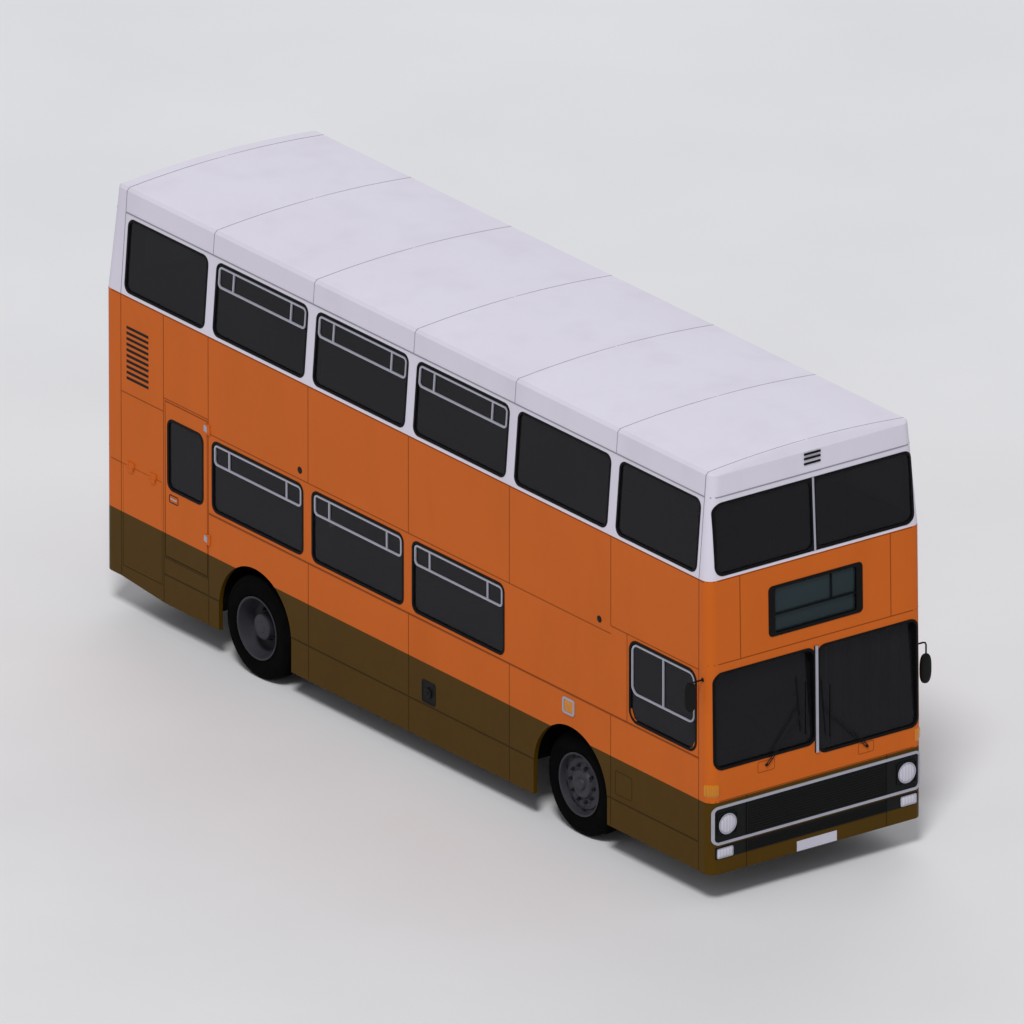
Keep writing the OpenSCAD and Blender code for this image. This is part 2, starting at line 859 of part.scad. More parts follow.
// A wiper: spindle at the pivot, arm, and an upright blade from z0 to z1
module wiper(pivot_y, pivot_z, tip_y, z0, z1) {
    x = front_x + rest;
    reach = [tip_y - pivot_y, (z0 + z1) / 2 - pivot_z];
    bar_x(pivot_y, pivot_z, 14, x, x + 22);
    translate([x + 10, pivot_y, pivot_z])
        rotate([atan2(reach[1], reach[0]), 0, 0])
            translate([0, 0, -7])
                cube([8, norm(reach), 14]);
    block([x + 4, tip_y - 7, z0], [x + 20, tip_y + 7, z1]);
}

module wipers() {
    color(dark) {
        wiper(-593, 1280, -140, 1484, 2015);
        wiper(585, 1183, 145, 1384, 1920);
    }
}

// ---- inside ----

// One bench: cushion on a pedestal with a back, facing forward
module bench(x, y0, y1, z) {
    block([x + 60, (y0 + y1) / 2 - 60, z + rest], [x + 340, (y0 + y1) / 2 + 60, z + 370]);
    block([x, y0, z + 360], [x + 430, y1, z + 450]);
    block([x - 80, y0, z + 360], [x, y1, z + 1000]);
}

aisle = 240;
bench_out = lower_inside - 30;
lower_rows = [for (i = [0:2]) front_axle_x - front_box_x - 560 - i * seat_pitch];

module lower_deck_seats() {
    color(moquette)
        for (s = [-1, 1])
            for (x = lower_rows)
                bench(x, min(s * aisle, s * bench_out), max(s * aisle, s * bench_out), lower_deck_z);
}

upper_rows = [for (i = [0:9]) waist_front_x - 900 - i * seat_pitch];

module upper_deck_seats() {
    color(moquette)
        for (x = upper_rows) {
            bench(x, aisle, bench_out - 90, upper_deck_z);
            if (x + 430 < stairs_x0 || x - 80 > stairs_x1)
                bench(x, -bench_out + 90, -aisle, upper_deck_z);
        }
}

driver_x = first_seam_x + 520;
driver_y = -720;

module driver_seat() {
    color(moquette) {
        block([driver_x, driver_y - 120, lower_deck_z + rest],
              [driver_x + 260, driver_y + 120, lower_deck_z + 330]);
        block([driver_x - 60, driver_y - 240, lower_deck_z + 320],
              [driver_x + 400, driver_y + 240, lower_deck_z + 430]);
        block([driver_x - 150, driver_y - 230, lower_deck_z + 320],
              [driver_x - 60, driver_y + 230, lower_deck_z + 1050]);
    }
}

cab_side_y = -330;

module cab_partition() {
    color(steel) {
        block([first_seam_x + 60, -lower_inside + rest, lower_deck_z + rest],
              [first_seam_x + 90, cab_side_y, upper_deck_z - deck_t - rest]);
        block([first_seam_x + 91, cab_side_y - 30, lower_deck_z + rest],
              [side_front_x - 350, cab_side_y, lower_deck_z + 900]);
    }
}

// Steering wheel, tilted back
wheel_tilt = 28;
wheel_hub = [driver_x + 560, driver_y, 1330];
column_foot = 250;
column_r = 20;

module dashboard() {
    color(dark)
        difference() {
            union() {
                difference() {
                    block([front_x - 300, -lower_inside + 60, lower_deck_z + rest],
                          [front_x - wall - 30, -120, 1330]);
                    block([front_x - 301, -lower_inside, lower_deck_z + 60], [front_x - 150, -200, 1120]);
                }
                block([wheel_hub[0] + 60, driver_y - 80, 1090], [front_x - 290, driver_y + 80, 1190]);
            }
            translate(wheel_hub)
                rotate([0, -wheel_tilt, 0])
                    translate([0, 0, -2 * column_foot])
                        cylinder(r = column_r + fit, h = 2 * column_foot);
        }
}

// Rim, spokes, hub and column
module steering_wheel() {
    color(dark)
        translate(wheel_hub)
            rotate([0, -wheel_tilt, 0]) {
                rotate_extrude()
                    translate([steering_wheel_d / 2 - 14, 0])
                        circle(r = 14);
                cylinder(r = 45, h = 30, center = true);
                for (a = [90, 210, 330])
                    rotate([0, 0, a])
                        translate([0, -14, -7])
                            cube([steering_wheel_d / 2 - 14, 28, 14]);
                translate([0, 0, -column_foot])
                    cylinder(r = column_r, h = column_foot);
            }
}

// Staircase rising rearwards behind the cab, over the front wheel box
stair_n = 8;

stair_t = 40;
stair_top_x = stairs_x1 - 300;

module staircase() {
    z0 = box_top_z + box_wall;
    rise = (upper_deck_z - z0) / (stair_n + 1);
    going = (stair_top_x - stairs_x0) / stair_n;
    color(steel)
        for (k = [0:stair_n - 1]) {
            x = stair_top_x - (k + 1) * going;
            z = z0 + (k + 1) * rise;
            block([x, -lower_inside + rest, z - stair_t], [x + going + 1, stairs_y1, z]);
            block([x - 12, -lower_inside + rest, k == 0 ? z0 + rest : z - rise - stair_t], [x, stairs_y1, z]);
        }
}

engine_hw = 730;

module engine() {
    color(dark)
        block([rear_x + 130, -engine_hw, frame_z1 + rest], [rear_x + 900, engine_hw, 1400]);
}

// ---- axles and wheels ----

module front_axle() {
    color(dark)
        difference() {
            union() {
                bar_y(front_axle_x, axle_drop_z, axle_seat_r - 4, -kingpin_y + 40, kingpin_y - 40);
                for (s = [-1, 1]) {
                    bar_y(front_axle_x, axle_drop_z, axle_seat_r, s * frame_y - 45, s * frame_y + 45);
                    bar_z(front_axle_x, s * kingpin_y, 50, axle_drop_z - 60, axle_drop_z + 60);
                }
            }
            for (s = [-1, 1])
                bar_z(front_axle_x, s * kingpin_y, kingpin_r + fit, axle_drop_z - 61, axle_drop_z + 61);
        }
}

casing_hw = rear_inner_y - tyre_w / 2 - 30;

module rear_axle() {
    color(dark) {
        bar_y(rear_axle_x, axle_drop_z, axle_seat_r, -casing_hw, casing_hw);
        bar_y(rear_axle_x, axle_drop_z, stub_r, -rear_outer_y, rear_outer_y);
        bar_x(0, axle_drop_z - 80, 125, rear_axle_x - 130, rear_axle_x + 130);
    }
}

arm_z = axle_drop_z - 110;
rod_r = 18;
ball_r = rod_r * 0.6;

// A bar along Y on side s, from y0 to y1 outwards
module side_bar(s, x, z, r, y0, y1) {
    bar_y(x, z, r, min(s * y0, s * y1), max(s * y0, s * y1));
}

// A box on side s, from y0 to y1 outwards
module side_block(s, x0, x1, y0, y1, z0, z1) {
    block([x0, min(s * y0, s * y1), z0], [x1, max(s * y0, s * y1), z1]);
}

// Steering knuckle: kingpin, yoke, stub axle and arm
module knuckle(s) {
    y = s * kingpin_y;
    difference() {
        union() {
            bar_z(front_axle_x, y, kingpin_r, axle_drop_z - 90, axle_drop_z + 90);
            for (k = [-1, 1])
                side_block(s, front_axle_x - 45, front_axle_x + 45, kingpin_y - 45, kingpin_y + 90,
                           axle_drop_z + k * 76 - 15, axle_drop_z + k * 76 + 15);
            side_block(s, front_axle_x - 45, front_axle_x + 45, kingpin_y + 60, kingpin_y + 90,
                       axle_drop_z - 90, axle_drop_z + 90);
            side_bar(s, front_axle_x, axle_drop_z, stub_r, kingpin_y + 80, front_wheel_y);
            block([front_axle_x - steer_arm, y - 22, arm_z - 10], [front_axle_x + 30, y + 22, arm_z + 22]);
            bar_z(front_axle_x - steer_arm, y, 30, arm_z - 10, arm_z + 22);
        }
        bar_z(front_axle_x - steer_arm, y, ball_r + fit, arm_z - 11, arm_z + 23);
    }
}

module knuckle_left() {
    color(dark) knuckle(1);
}

module knuckle_right() {
    color(dark) knuckle(-1);
}

module tie_rod() {
    color(steel) {
        bar_y(front_axle_x - steer_arm, arm_z - 45, rod_r, -kingpin_y, kingpin_y);
        for (s = [-1, 1]) {
            bar_z(front_axle_x - steer_arm, s * kingpin_y, 28, arm_z - 70, arm_z - 16);
            bar_z(front_axle_x - steer_arm, s * kingpin_y, ball_r, arm_z - 60, arm_z + 22);
        }
    }
}

// Tyre with rounded shoulders, centred on y
tyre_hw = tyre_w / 2;

module tyre(x, y) {
    translate([x, y, tyre_r])
        rotate([90, 0, 0])
            rotate_extrude()
                polygon([[rim_r + rest, -tyre_hw + 24], [rim_r + 40, -tyre_hw + 4], [tyre_r - 90, -tyre_hw],
                         [tyre_r - 28, -tyre_hw + 14], [tyre_r, -tyre_hw + 44], [tyre_r, tyre_hw - 44],
                         [tyre_r - 28, tyre_hw - 14], [tyre_r - 90, tyre_hw], [rim_r + 40, tyre_hw - 4],
                         [rim_r + rest, tyre_hw - 24]]);
}

// Rim section turned about the axle; side is the outboard direction, disc_y the disc's place
rim_t = 22;
disc_ht = 14;

module rim(x, y, side, disc_y) {
    d = side * disc_y;
    barrel_hw = tyre_hw - 16;
    translate([x, y, tyre_r])
        rotate([-90, 0, 0])
            rotate_extrude()
                polygon([[stub_r + fit, d - disc_ht], [rim_r - rim_t, d - disc_ht],
                         [rim_r - rim_t, -barrel_hw], [rim_r, -barrel_hw], [rim_r, barrel_hw],
                         [rim_r - rim_t, barrel_hw], [rim_r - rim_t, d + disc_ht],
                         [stub_r + fit, d + disc_ht]]);
}

// Hub on side s, from y0 to y1 outwards, bored for the stub axle
module hub(s, x, y0, y1) {
    difference() {
        side_bar(s, x, tyre_r, 120, y0, y1);
        side_bar(s, x, tyre_r, stub_r + fit, y0 - 1, y1 + 1);
    }
}

module front_rim(s) {
    rim(front_axle_x, s * front_wheel_y, s, 70);
    hub(s, front_axle_x, front_wheel_y - 60, front_wheel_y + 60);
    side_bar(s, front_axle_x, tyre_r, 110, front_wheel_y + 55, front_wheel_y + 110);
}

module rear_rims(s) {
    rim(rear_axle_x, s * rear_outer_y, s, -100);
    rim(rear_axle_x, s * rear_inner_y, s, 100);
    hub(s, rear_axle_x, rear_inner_y + 80, rear_outer_y + 10);
    side_bar(s, rear_axle_x, tyre_r, 115, rear_outer_y + 1, rear_outer_y + 90);
}

module rear_tyres(s) {
    tyre(rear_axle_x, s * rear_outer_y);
    tyre(rear_axle_x, s * rear_inner_y);
}

module front_tyre_left() {
    color(dark) tyre(front_axle_x, front_wheel_y);
}

module front_tyre_right() {
    color(dark) tyre(front_axle_x, -front_wheel_y);
}

module front_rim_left() {
    color(steel) front_rim(1);
}

module front_rim_right() {
    color(steel) front_rim(-1);
}

module rear_tyres_left() {
    color(dark) rear_tyres(1);
}

module rear_tyres_right() {
    color(dark) rear_tyres(-1);
}

module rear_rims_left() {
    color(steel) rear_rims(1);
}

module rear_rims_right() {
    color(steel) rear_rims(-1);
}

// ---- entrance doors ----

leaf_y1 = half_w - 10;
leaf_y0 = leaf_y1 - leaf_t;
leaf_mid = (leaf_y0 + leaf_y1) / 2;
leaf_z0 = step_z + 12;
leaf_z1 = entrance_head_z - 12;
shaft_r = 10;
shaft_in = 26;
knee_out = 5;
knee_pin_r = 2;
knee_y = leaf_y1 + knee_out;
leaf_w = (entrance_w / 2 - shaft_in - 12) / 2;
knee_z = [leaf_z0 + 250, leaf_z1 - 250];

// Outline of a leaf's glass
function leaf_glass(x0, x1, inset) =
    rounded(x0 + 45 + inset, x1 - 45 - inset, leaf_z0 + 120 + inset, leaf_z1 - 110 - inset, 50 - inset);

// A leaf from x0 to x1
module leaf(x0, x1) {
    difference() {
        block([x0, leaf_y0, leaf_z0], [x1, leaf_y1, leaf_z1]);
        through_side(leaf_glass(x0, x1, 0), leaf_y0 - 1, leaf_y1 + 1);
    }
}

module leaf_pane(x0, x1) {
    through_side(leaf_glass(x0, x1, rest), leaf_mid - 3, leaf_mid + 3);
}

// A plate of the knee hinge, from a to b away from the knee in the direction d
module knee_block(knee_x, d, a, b, y0, y1, z0, z1) {
    block([min(knee_x + d * a, knee_x + d * b), y0, z0], [max(knee_x + d * a, knee_x + d * b), y1, z1]);
}

// Leaf carried by the shaft at its pillar; d is the direction away from the pillar
module pillar_leaf(pillar_x, d) {
    shaft_x = pillar_x + d * shaft_in;
    knee_x = shaft_x + d * leaf_w;
    x0 = min(shaft_x - d * 2, knee_x - d * knee_out);
    x1 = max(shaft_x - d * 2, knee_x - d * knee_out);
    color(dark) {
        leaf(x0, x1);
        bar_z(shaft_x, leaf_mid, shaft_r, step_z + 0.5, entrance_head_z - 0.5);
        for (z = knee_z) {
            knee_block(knee_x, -d, -4, 20, knee_y - 4, knee_y + 4, z - 12, z);
            knee_block(knee_x, -d, 6, 20, leaf_y1 - 1, knee_y, z - 12, z);
            bar_z(knee_x, knee_y, knee_pin_r, z - 12, z + 26);
        }
    }
    color(tint) leaf_pane(x0, x1);
}

// Leaf hinged to its neighbour at the knee
module folding_leaf(pillar_x, d) {
    knee_x = pillar_x + d * (shaft_in + leaf_w);
    end_x = knee_x + d * leaf_w;
    x0 = min(knee_x + d * knee_out, end_x);
    x1 = max(knee_x + d * knee_out, end_x);
    color(dark)
        difference() {
            union() {
                leaf(x0, x1);
                for (z = knee_z) {
                    bar_z(knee_x, knee_y, knee_pin_r + 2.5, z + 0.5, z + 24);
                    knee_block(knee_x, d, 0, 20, knee_y - 4, knee_y + 4, z + 0.5, z + 24);
                    knee_block(knee_x, d, 6, 20, leaf_y1 - 1, knee_y, z + 0.5, z + 24);
                }
            }
            for (z = knee_z)
                bar_z(knee_x, knee_y, knee_pin_r + fit, z, z + 25);
        }
    color(tint) leaf_pane(x0, x1);
}

module entrance_leaf_1() {
    pillar_leaf(entrance_x1, -1);
}

module entrance_leaf_2() {
    folding_leaf(entrance_x1, -1);
}

module entrance_leaf_3() {
    folding_leaf(entrance_x0, 1);
}

module entrance_leaf_4() {
    pillar_leaf(entrance_x0, 1);
}

chassis_frame();
lower_deck_floor();
entrance_step();
wheel_boxes();
upper_deck_floor();
offside_skirt();
nearside_skirt();
offside_lower_side();
nearside_lower_side();
offside_upper_side();
nearside_upper_side();
roof();
front_lower_panel();
destination_panel();
front_upper_panel();
rear_lower_panel();
rear_upper_panel();
windscreen();
lower_deck_windows();
upper_deck_windows();
destination_display();
grille();
front_lamps();
indicator_lamps();
rear_lamps();
number_plates();
mirrors();
wipers();
staircase();
lower_deck_seats();
upper_deck_seats();
driver_seat();
cab_partition();
dashboard();
engine();
front_axle();
rear_axle();
steering_wheel();
knuckle_left();
knuckle_right();
tie_rod();
front_tyre_left();
front_tyre_right();
front_rim_left();
front_rim_right();
rear_tyres_left();
rear_tyres_right();
rear_rims_left();
rear_rims_right();
entrance_leaf_1();
entrance_leaf_2();
entrance_leaf_3();
entrance_leaf_4();
emergency_door();
engine_cover();
engine_side_flap();
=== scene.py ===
"""The looks of the double decker bus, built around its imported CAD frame. Metres, +X forward, +Z up."""
import math

import bmesh
import bpy
from mathutils import Matrix, Vector


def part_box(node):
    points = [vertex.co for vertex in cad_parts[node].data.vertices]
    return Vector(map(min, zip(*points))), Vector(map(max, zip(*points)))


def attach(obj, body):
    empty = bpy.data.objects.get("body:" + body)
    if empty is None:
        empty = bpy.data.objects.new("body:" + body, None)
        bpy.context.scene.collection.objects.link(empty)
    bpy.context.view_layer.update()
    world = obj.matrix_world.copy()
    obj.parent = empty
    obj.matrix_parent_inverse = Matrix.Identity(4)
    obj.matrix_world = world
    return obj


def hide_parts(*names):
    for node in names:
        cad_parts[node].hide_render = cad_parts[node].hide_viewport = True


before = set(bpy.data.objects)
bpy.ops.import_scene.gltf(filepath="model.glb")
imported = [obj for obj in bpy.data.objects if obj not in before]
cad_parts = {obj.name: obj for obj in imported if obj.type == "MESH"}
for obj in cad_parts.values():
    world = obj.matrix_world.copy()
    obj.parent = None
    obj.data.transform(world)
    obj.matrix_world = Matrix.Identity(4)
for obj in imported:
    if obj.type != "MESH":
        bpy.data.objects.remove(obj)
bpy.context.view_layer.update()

# ---- driving sizes, taken from the frame ----
ROOT = "body"


def box(node):
    """Lowest and highest corner of a CAD node as vectors."""
    low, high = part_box(node)
    return Vector(low), Vector(high)


side_low, side_high = box("offside_lower_side")
front_high = box("front_lower_panel")[1]
roof_low, roof_high = box("roof")
HALF_W = front_high.y
FRONT_X = front_high.x
REAR_X = box("rear_upper_panel")[0].x
BROW_Z = front_high.z
WAIST_Z = box("front_upper_panel")[0].z
GUTTER_Z = roof_low.z
SKIRT_Z = side_low.z
CORNER_R = 0.10
# how far the upper deck's front, rear and sides lean in between the waist and the gutter
FRONT_LEAN, REAR_LEAN, SIDE_LEAN = 0.045, 0.060, 0.064
TUMBLE = SIDE_LEAN / (GUTTER_Z - WAIST_Z)
# how far the front lies back at the brow, from the chin up, and then at the waist
CHIN_Z, CHIN_DROP, BROW_DROP = 1.3, 0.019, 0.017
SEAM_X = [-4.486, -3.101, -1.523, 0.055, 1.633, 3.211, 4.574]


def add(name, data):
    """A new object in the scene."""
    obj = bpy.data.objects.new(name, data)
    bpy.context.scene.collection.objects.link(obj)
    return obj


# ---- camera, first, at the photograph's angle ----
TARGET = Vector((3.420, -2.559, 3.864))
BACK = Vector((0.74278, -0.55709, 0.37139)).normalized()
VIEW_WIDTH = 9.526
LENS = 1650.0
SENSOR = 36.0


def make_camera():
    """A very long lens, so that parallel lines stay parallel."""
    data = bpy.data.cameras.new("camera")
    data.lens = LENS
    data.sensor_width = SENSOR
    data.clip_start = 1.0
    data.clip_end = 3000.0
    cam = add("camera", data)
    cam.location = TARGET + BACK * (VIEW_WIDTH * LENS / SENSOR)
    cam.rotation_euler = BACK.to_track_quat("Z", "Y").to_euler()
    bpy.context.scene.camera = cam


make_camera()

# ---- materials ----


def srgb(r, g, b):
    """A colour given as 0 to 255, made linear."""
    def one(c):
        c /= 255.0
        return c / 12.92 if c <= 0.04045 else ((c + 0.055) / 1.055) ** 2.4
    return (one(r), one(g), one(b), 1.0)


class Shader:
    """A node material: a Principled shader with the place on the bus at rest ready."""

    def __init__(self, name, color, rough=0.5, **settings):
        self.mat = bpy.data.materials.new(name)
        self.mat.use_nodes = True
        self.nodes = self.mat.node_tree.nodes
        self.links = self.mat.node_tree.links
        self.bsdf = self.nodes["Principled BSDF"]
        self.bsdf.inputs["Base Color"].default_value = color
        self.bsdf.inputs["Roughness"].default_value = rough
        for key, value in settings.items():
            self.bsdf.inputs[key.replace("_", " ")].default_value = value
        self.coord = self.nodes.new("ShaderNodeTexCoord").outputs["Object"]
        self.place = self.node("SeparateXYZ", {0: self.coord}).outputs

    def node(self, kind, inputs, **settings):
        """A new node, with its inputs linked or set to constants."""
        node = self.nodes.new("ShaderNode" + kind)
        for key, value in settings.items():
            setattr(node, key, value)
        for key, value in inputs.items():
            if isinstance(value, (float, int, tuple)):
                node.inputs[key].default_value = value
            else:
                self.links.new(value, node.inputs[key])
        return node

    def noise(self, scale, detail=4.0, stretch=None):
        source = self.coord
        if stretch:
            source = self.node("Mapping", {"Vector": source, "Scale": stretch}).outputs["Vector"]
        return self.node("TexNoise", {"Vector": source, "Scale": scale, "Detail": detail}).outputs["Fac"]

    def bands(self, fac, stops):
        """Colours that change sharply at each stop."""
        node = self.node("ValToRGB", {"Fac": fac})
        node.color_ramp.interpolation = "CONSTANT"
        elements = node.color_ramp.elements
        while len(elements) < len(stops):
            elements.new(0.5)
        for element, (place, color) in zip(elements, stops):
            element.position = place
            element.color = color
        return node.outputs["Color"]

    def rescale(self, value, a, b, c, d):
        """Value from the range a to b brought to the range c to d."""
        return self.node("MapRange", {"Value": value, "From Min": a, "From Max": b, "To Min": c,
                                      "To Max": d}).outputs["Result"]

    def mix(self, fac, a, b, mode="MIX"):
        return self.node("Mix", {0: fac, 6: a, 7: b}, data_type="RGBA", blend_type=mode).outputs[2]

    def color(self, socket):
        self.links.new(socket, self.bsdf.inputs["Base Color"])

    def rough(self, fac, low, high):
        self.links.new(self.rescale(fac, 0.3, 0.7, low, high), self.bsdf.inputs["Roughness"])

    def bump(self, height, strength, distance):
        node = self.node("Bump", {"Height": height, "Strength": strength, "Distance": distance})
        self.links.new(node.outputs["Normal"], self.bsdf.inputs["Normal"])

    def math(self, operation, a, b=0.0):
        return self.node("Math", {0: a, 1: b}, operation=operation).outputs[0]

    def inside(self):
        """1 on the saloon side of the body's walls, 0 on their painted side."""
        x, y, z = self.place
        upper = self.rescale(z, WAIST_Z, GUTTER_Z, 0.0, 1.0)
        nose_x = FRONT_X - SKIN
        nose = self.rescale(z, CHIN_Z, WAIST_Z, nose_x, nose_x - CHIN_DROP - BROW_DROP)
        front = self.math("SUBTRACT", nose, self.math("MULTIPLY", upper, FRONT_LEAN))
        rear = self.math("ADD", REAR_X + SKIN, self.math("MULTIPLY", upper, REAR_LEAN))
        half = self.math("SUBTRACT", HALF_W - SKIN, self.math("MULTIPLY", upper, SIDE_LEAN))
        away = self.math("ABSOLUTE", y)
        # the rounded corners of the body, cut across
        nose_corner = self.math("SUBTRACT", self.math("ADD", front, half), CORNER_CUT)
        tail_corner = self.math("SUBTRACT", self.math("SUBTRACT", half, rear), CORNER_CUT)
        result = 1.0
        for low, high in ((away, half), (x, front), (rear, x), (self.math("ADD", away, x), nose_corner),
                          (self.math("SUBTRACT", away, x), tail_corner), (z, CEILING_Z), (FLOOR_Z, z)):
            result = self.math("MULTIPLY", result, self.math("LESS_THAN", low, high))
        return result


ORANGE = srgb(206, 101, 32)
BROWN = srgb(78, 55, 4)
WHITE = srgb(222, 217, 230)
LINING = srgb(164, 154, 132)
BAND_TOP = 4.4  # above the roof
SKIN = 0.020  # paint reaches this far into an opening
CORNER_CUT = 0.040
FLOOR_Z, CEILING_Z = 0.640, GUTTER_Z - 0.02


def paint(name, shade=1.0, lined=True):
    """Coach paint: brown skirt, orange sides and white upper deck; lined has a pale saloon side. A shade
    below 1 darkens every colour as painted shade, used for the joint strips.
    """
    s = Shader(name, ORANGE, 0.4, Specular_IOR_Level=0.07, Coat_Weight=0.01, Coat_Roughness=0.15)

    def dim(c):
        return (c[0] * shade, c[1] * shade, c[2] * shade, 1.0)
    fac = s.rescale(s.place["Z"], 0.0, BAND_TOP, 0.0, 1.0)
    bands = s.bands(fac, [(0.0, dim(BROWN)), (SKIRT_Z / BAND_TOP, dim(ORANGE)),
                          ((WAIST_Z - 0.002) / BAND_TOP, dim(WHITE))])
    cloud = s.rescale(s.noise(0.7, 3.0), 0.35, 0.65, 0.0, 0.07)
    wash = s.mix(cloud, bands, (0.62, 0.58, 0.55, 1.0), "MULTIPLY")
    grime = s.rescale(s.noise(2.2, 4.0, (1.0, 1.0, 0.3)), 0.5, 0.8, 0.0, 0.10)
    outside = s.mix(grime, wash, (0.40, 0.37, 0.35, 1.0), "MULTIPLY")
    s.color(s.mix(s.inside(), outside, LINING) if lined else outside)
    s.rough(s.noise(9.0, 5.0), 0.34, 0.46)
    s.bump(s.noise(2.5, 2.0), 0.04, 0.02)
    return s.mat


def plain(name, color, rough, grain, depth, spread=0.25, **settings):
    """A moulded or painted finish with fine grain and slight colour variation."""
    settings.setdefault("Specular_IOR_Level", 0.25)
    s = Shader(name, color, rough, **settings)
    fac = s.rescale(s.noise(grain * 0.12, 4.0), 0.3, 0.7, 0.0, spread)
    lighter = tuple(min(1.0, c * 1.5 + 0.002) for c in color[:3]) + (1.0,)
    s.color(s.mix(fac, color, lighter))
    s.rough(s.noise(grain * 0.3, 5.0), max(0.04, rough - 0.08), min(1.0, rough + 0.08))
    s.bump(s.noise(grain, 5.0), depth, 0.002)
    return s.mat


def cloth(name, color, second):
    """Woven seat moquette: small checks with flecks and a fine pile."""
    s = Shader(name, color, 0.92, Sheen_Weight=0.35, Specular_IOR_Level=0.1)
    weave = s.node("TexChecker", {"Vector": s.coord, "Scale": 36.0, "Color1": color, "Color2": second})
    fleck = s.rescale(s.noise(60.0), 0.45, 0.6, 0.0, 0.5)
    s.color(s.mix(fleck, weave.outputs["Color"], (0.03, 0.018, 0.012, 1.0)))
    s.bump(s.noise(500.0, 2.0), 0.5, 0.001)
    return s.mat


def glazing(name, color, alpha):
    """Dark tinted glass that lets a little of the inside show."""
    s = Shader(name, color, 0.06, IOR=1.45, Specular_IOR_Level=0.16, Alpha=alpha)
    s.rough(s.noise(1.5, 2.0), 0.04, 0.10)
    tint = tuple(min(1.0, c * 1.35) for c in color[:3]) + (1.0,)
    s.color(s.mix(s.rescale(s.noise(0.6, 2.0), 0.3, 0.7, 0.0, 1.0), color, tint))
    return s.mat


def lens(name, color, pitch):
    """Moulded lamp lens with vertical flutes."""
    s = Shader(name, color, 0.22, Coat_Weight=0.25, Specular_IOR_Level=0.35)
    wave = s.node("TexWave", {"Vector": s.coord, "Scale": pitch, "Distortion": 0.0}, bands_direction="Y")
    darker = tuple(c * 0.72 for c in color[:3]) + (1.0,)
    s.color(s.mix(s.rescale(wave.outputs["Fac"], 0.0, 1.0, 0.0, 0.6), color, darker))
    s.bump(wave.outputs["Fac"], 0.25, 0.003)
    return s.mat


M = {
    "paint": paint("coach_paint"),
    # the joint strips' paint at 0.42 of the body colour: painted shade along the panel joints; the real cover
    # strips are body colour
    "seam_painted_shade": paint("coach_paint_seam", 0.42, False),
    "paint_flap": paint("coach_paint_unlined", 1.0, False),
    "glass": glazing("tinted_glass", srgb(24, 24, 28), 0.80),
    "blind": glazing("blind_glass", srgb(34, 46, 50), 0.92),
    "rubber": plain("window_rubber", srgb(6, 6, 7), 0.6, 120.0, 0.2, Specular_IOR_Level=0.12),
    "silver": plain("window_alloy", srgb(168, 168, 180), 0.42, 90.0, 0.1, 0.2, Metallic=0.35),
    "black": plain("black_plastic", srgb(12, 13, 13), 0.55, 150.0, 0.25, Specular_IOR_Level=0.15),
    "chassis": plain("chassis_paint", srgb(22, 22, 24), 0.7, 30.0, 0.4, 0.5),
    "deck": plain("deck_lino", srgb(88, 84, 80), 0.75, 40.0, 0.3, 0.4),
    "arch": plain("arch_lining", srgb(9, 9, 10), 0.9, 30.0, 0.4, 0.5, Specular_IOR_Level=0.05),
    "lining": plain("saloon_lining", srgb(158, 148, 128), 0.6, 50.0, 0.2, 0.2),
    "tyre": plain("tyre_rubber", srgb(5, 5, 5), 0.9, 45.0, 0.4, 0.4, Specular_IOR_Level=0.04),
    "rim": plain("rim_paint", srgb(49, 49, 55), 0.5, 25.0, 0.3, 0.3),
    # dark for the wheel nuts, and as painted shade in the front discs' hand holes
    "dark_rim_and_hole_shade": plain("rim_dark_and_hole_shade", srgb(16, 16, 18), 0.6, 25.0, 0.3, 0.4),
    "cloth": cloth("seat_moquette", srgb(150, 72, 34), srgb(84, 46, 26)),
    "vinyl": plain("seat_vinyl", srgb(60, 36, 22), 0.5, 220.0, 0.4, 0.3),
    "lamp": lens("lamp_glass", srgb(206, 204, 216), 9.0),
    "amber": lens("amber_lens", srgb(208, 128, 4), 22.0),
    "red": lens("red_lens", srgb(150, 16, 12), 22.0),
    "plate": plain("blank_plate", srgb(196, 194, 206), 0.45, 40.0, 0.1, 0.1),
    "yellow": plain("rear_plate", srgb(206, 170, 30), 0.45, 40.0, 0.1, 0.1),
    "pole": plain("grab_rail", srgb(206, 172, 52), 0.35, 60.0, 0.1, 0.1),
    "mirror": plain("mirror_glass", srgb(190, 194, 200), 0.05, 10.0, 0.02, 0.05, Metallic=1.0),
}

NODE_MATERIALS = {
    "paint": "offside_lower_side nearside_lower_side offside_upper_side nearside_upper_side roof "
             "front_lower_panel destination_panel front_upper_panel rear_lower_panel rear_upper_panel "
             "emergency_door",
    "paint_flap": "offside_skirt nearside_skirt engine_cover engine_side_flap",
    "glass": "windscreen lower_deck_windows upper_deck_windows",
    "blind": "destination_display",
    "black": "grille wipers dashboard steering_wheel mirrors",
    "lamp": "front_lamps",
    "amber": "indicator_lamps",
    "red": "rear_lamps",
    "plate": "number_plates",
    "chassis": "chassis_frame engine front_axle rear_axle knuckle_left knuckle_right tie_rod",
    "deck": "lower_deck_floor entrance_step upper_deck_floor staircase",
    "arch": "wheel_boxes",
    "lining": "cab_partition",
    "tyre": "front_tyre_left front_tyre_right rear_tyres_left rear_tyres_right",
    "rim": "front_rim_left front_rim_right rear_rims_left rear_rims_right",
    "cloth": "lower_deck_seats upper_deck_seats driver_seat",
    "silver": "entrance_leaf_1 entrance_leaf_2 entrance_leaf_3 entrance_leaf_4",
}


for material_name, node_names in NODE_MATERIALS.items():
    for node_name in node_names.split():
        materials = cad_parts[node_name].data.materials
        materials.clear()
        materials.append(M[material_name])

# ---- mesh helpers ----


def clamp(value, low=0.0, high=1.0):
    return max(low, min(high, value))


def circle(count):
    """Evenly spaced angles round a full turn."""
    return [2 * math.pi * k / count for k in range(count)]


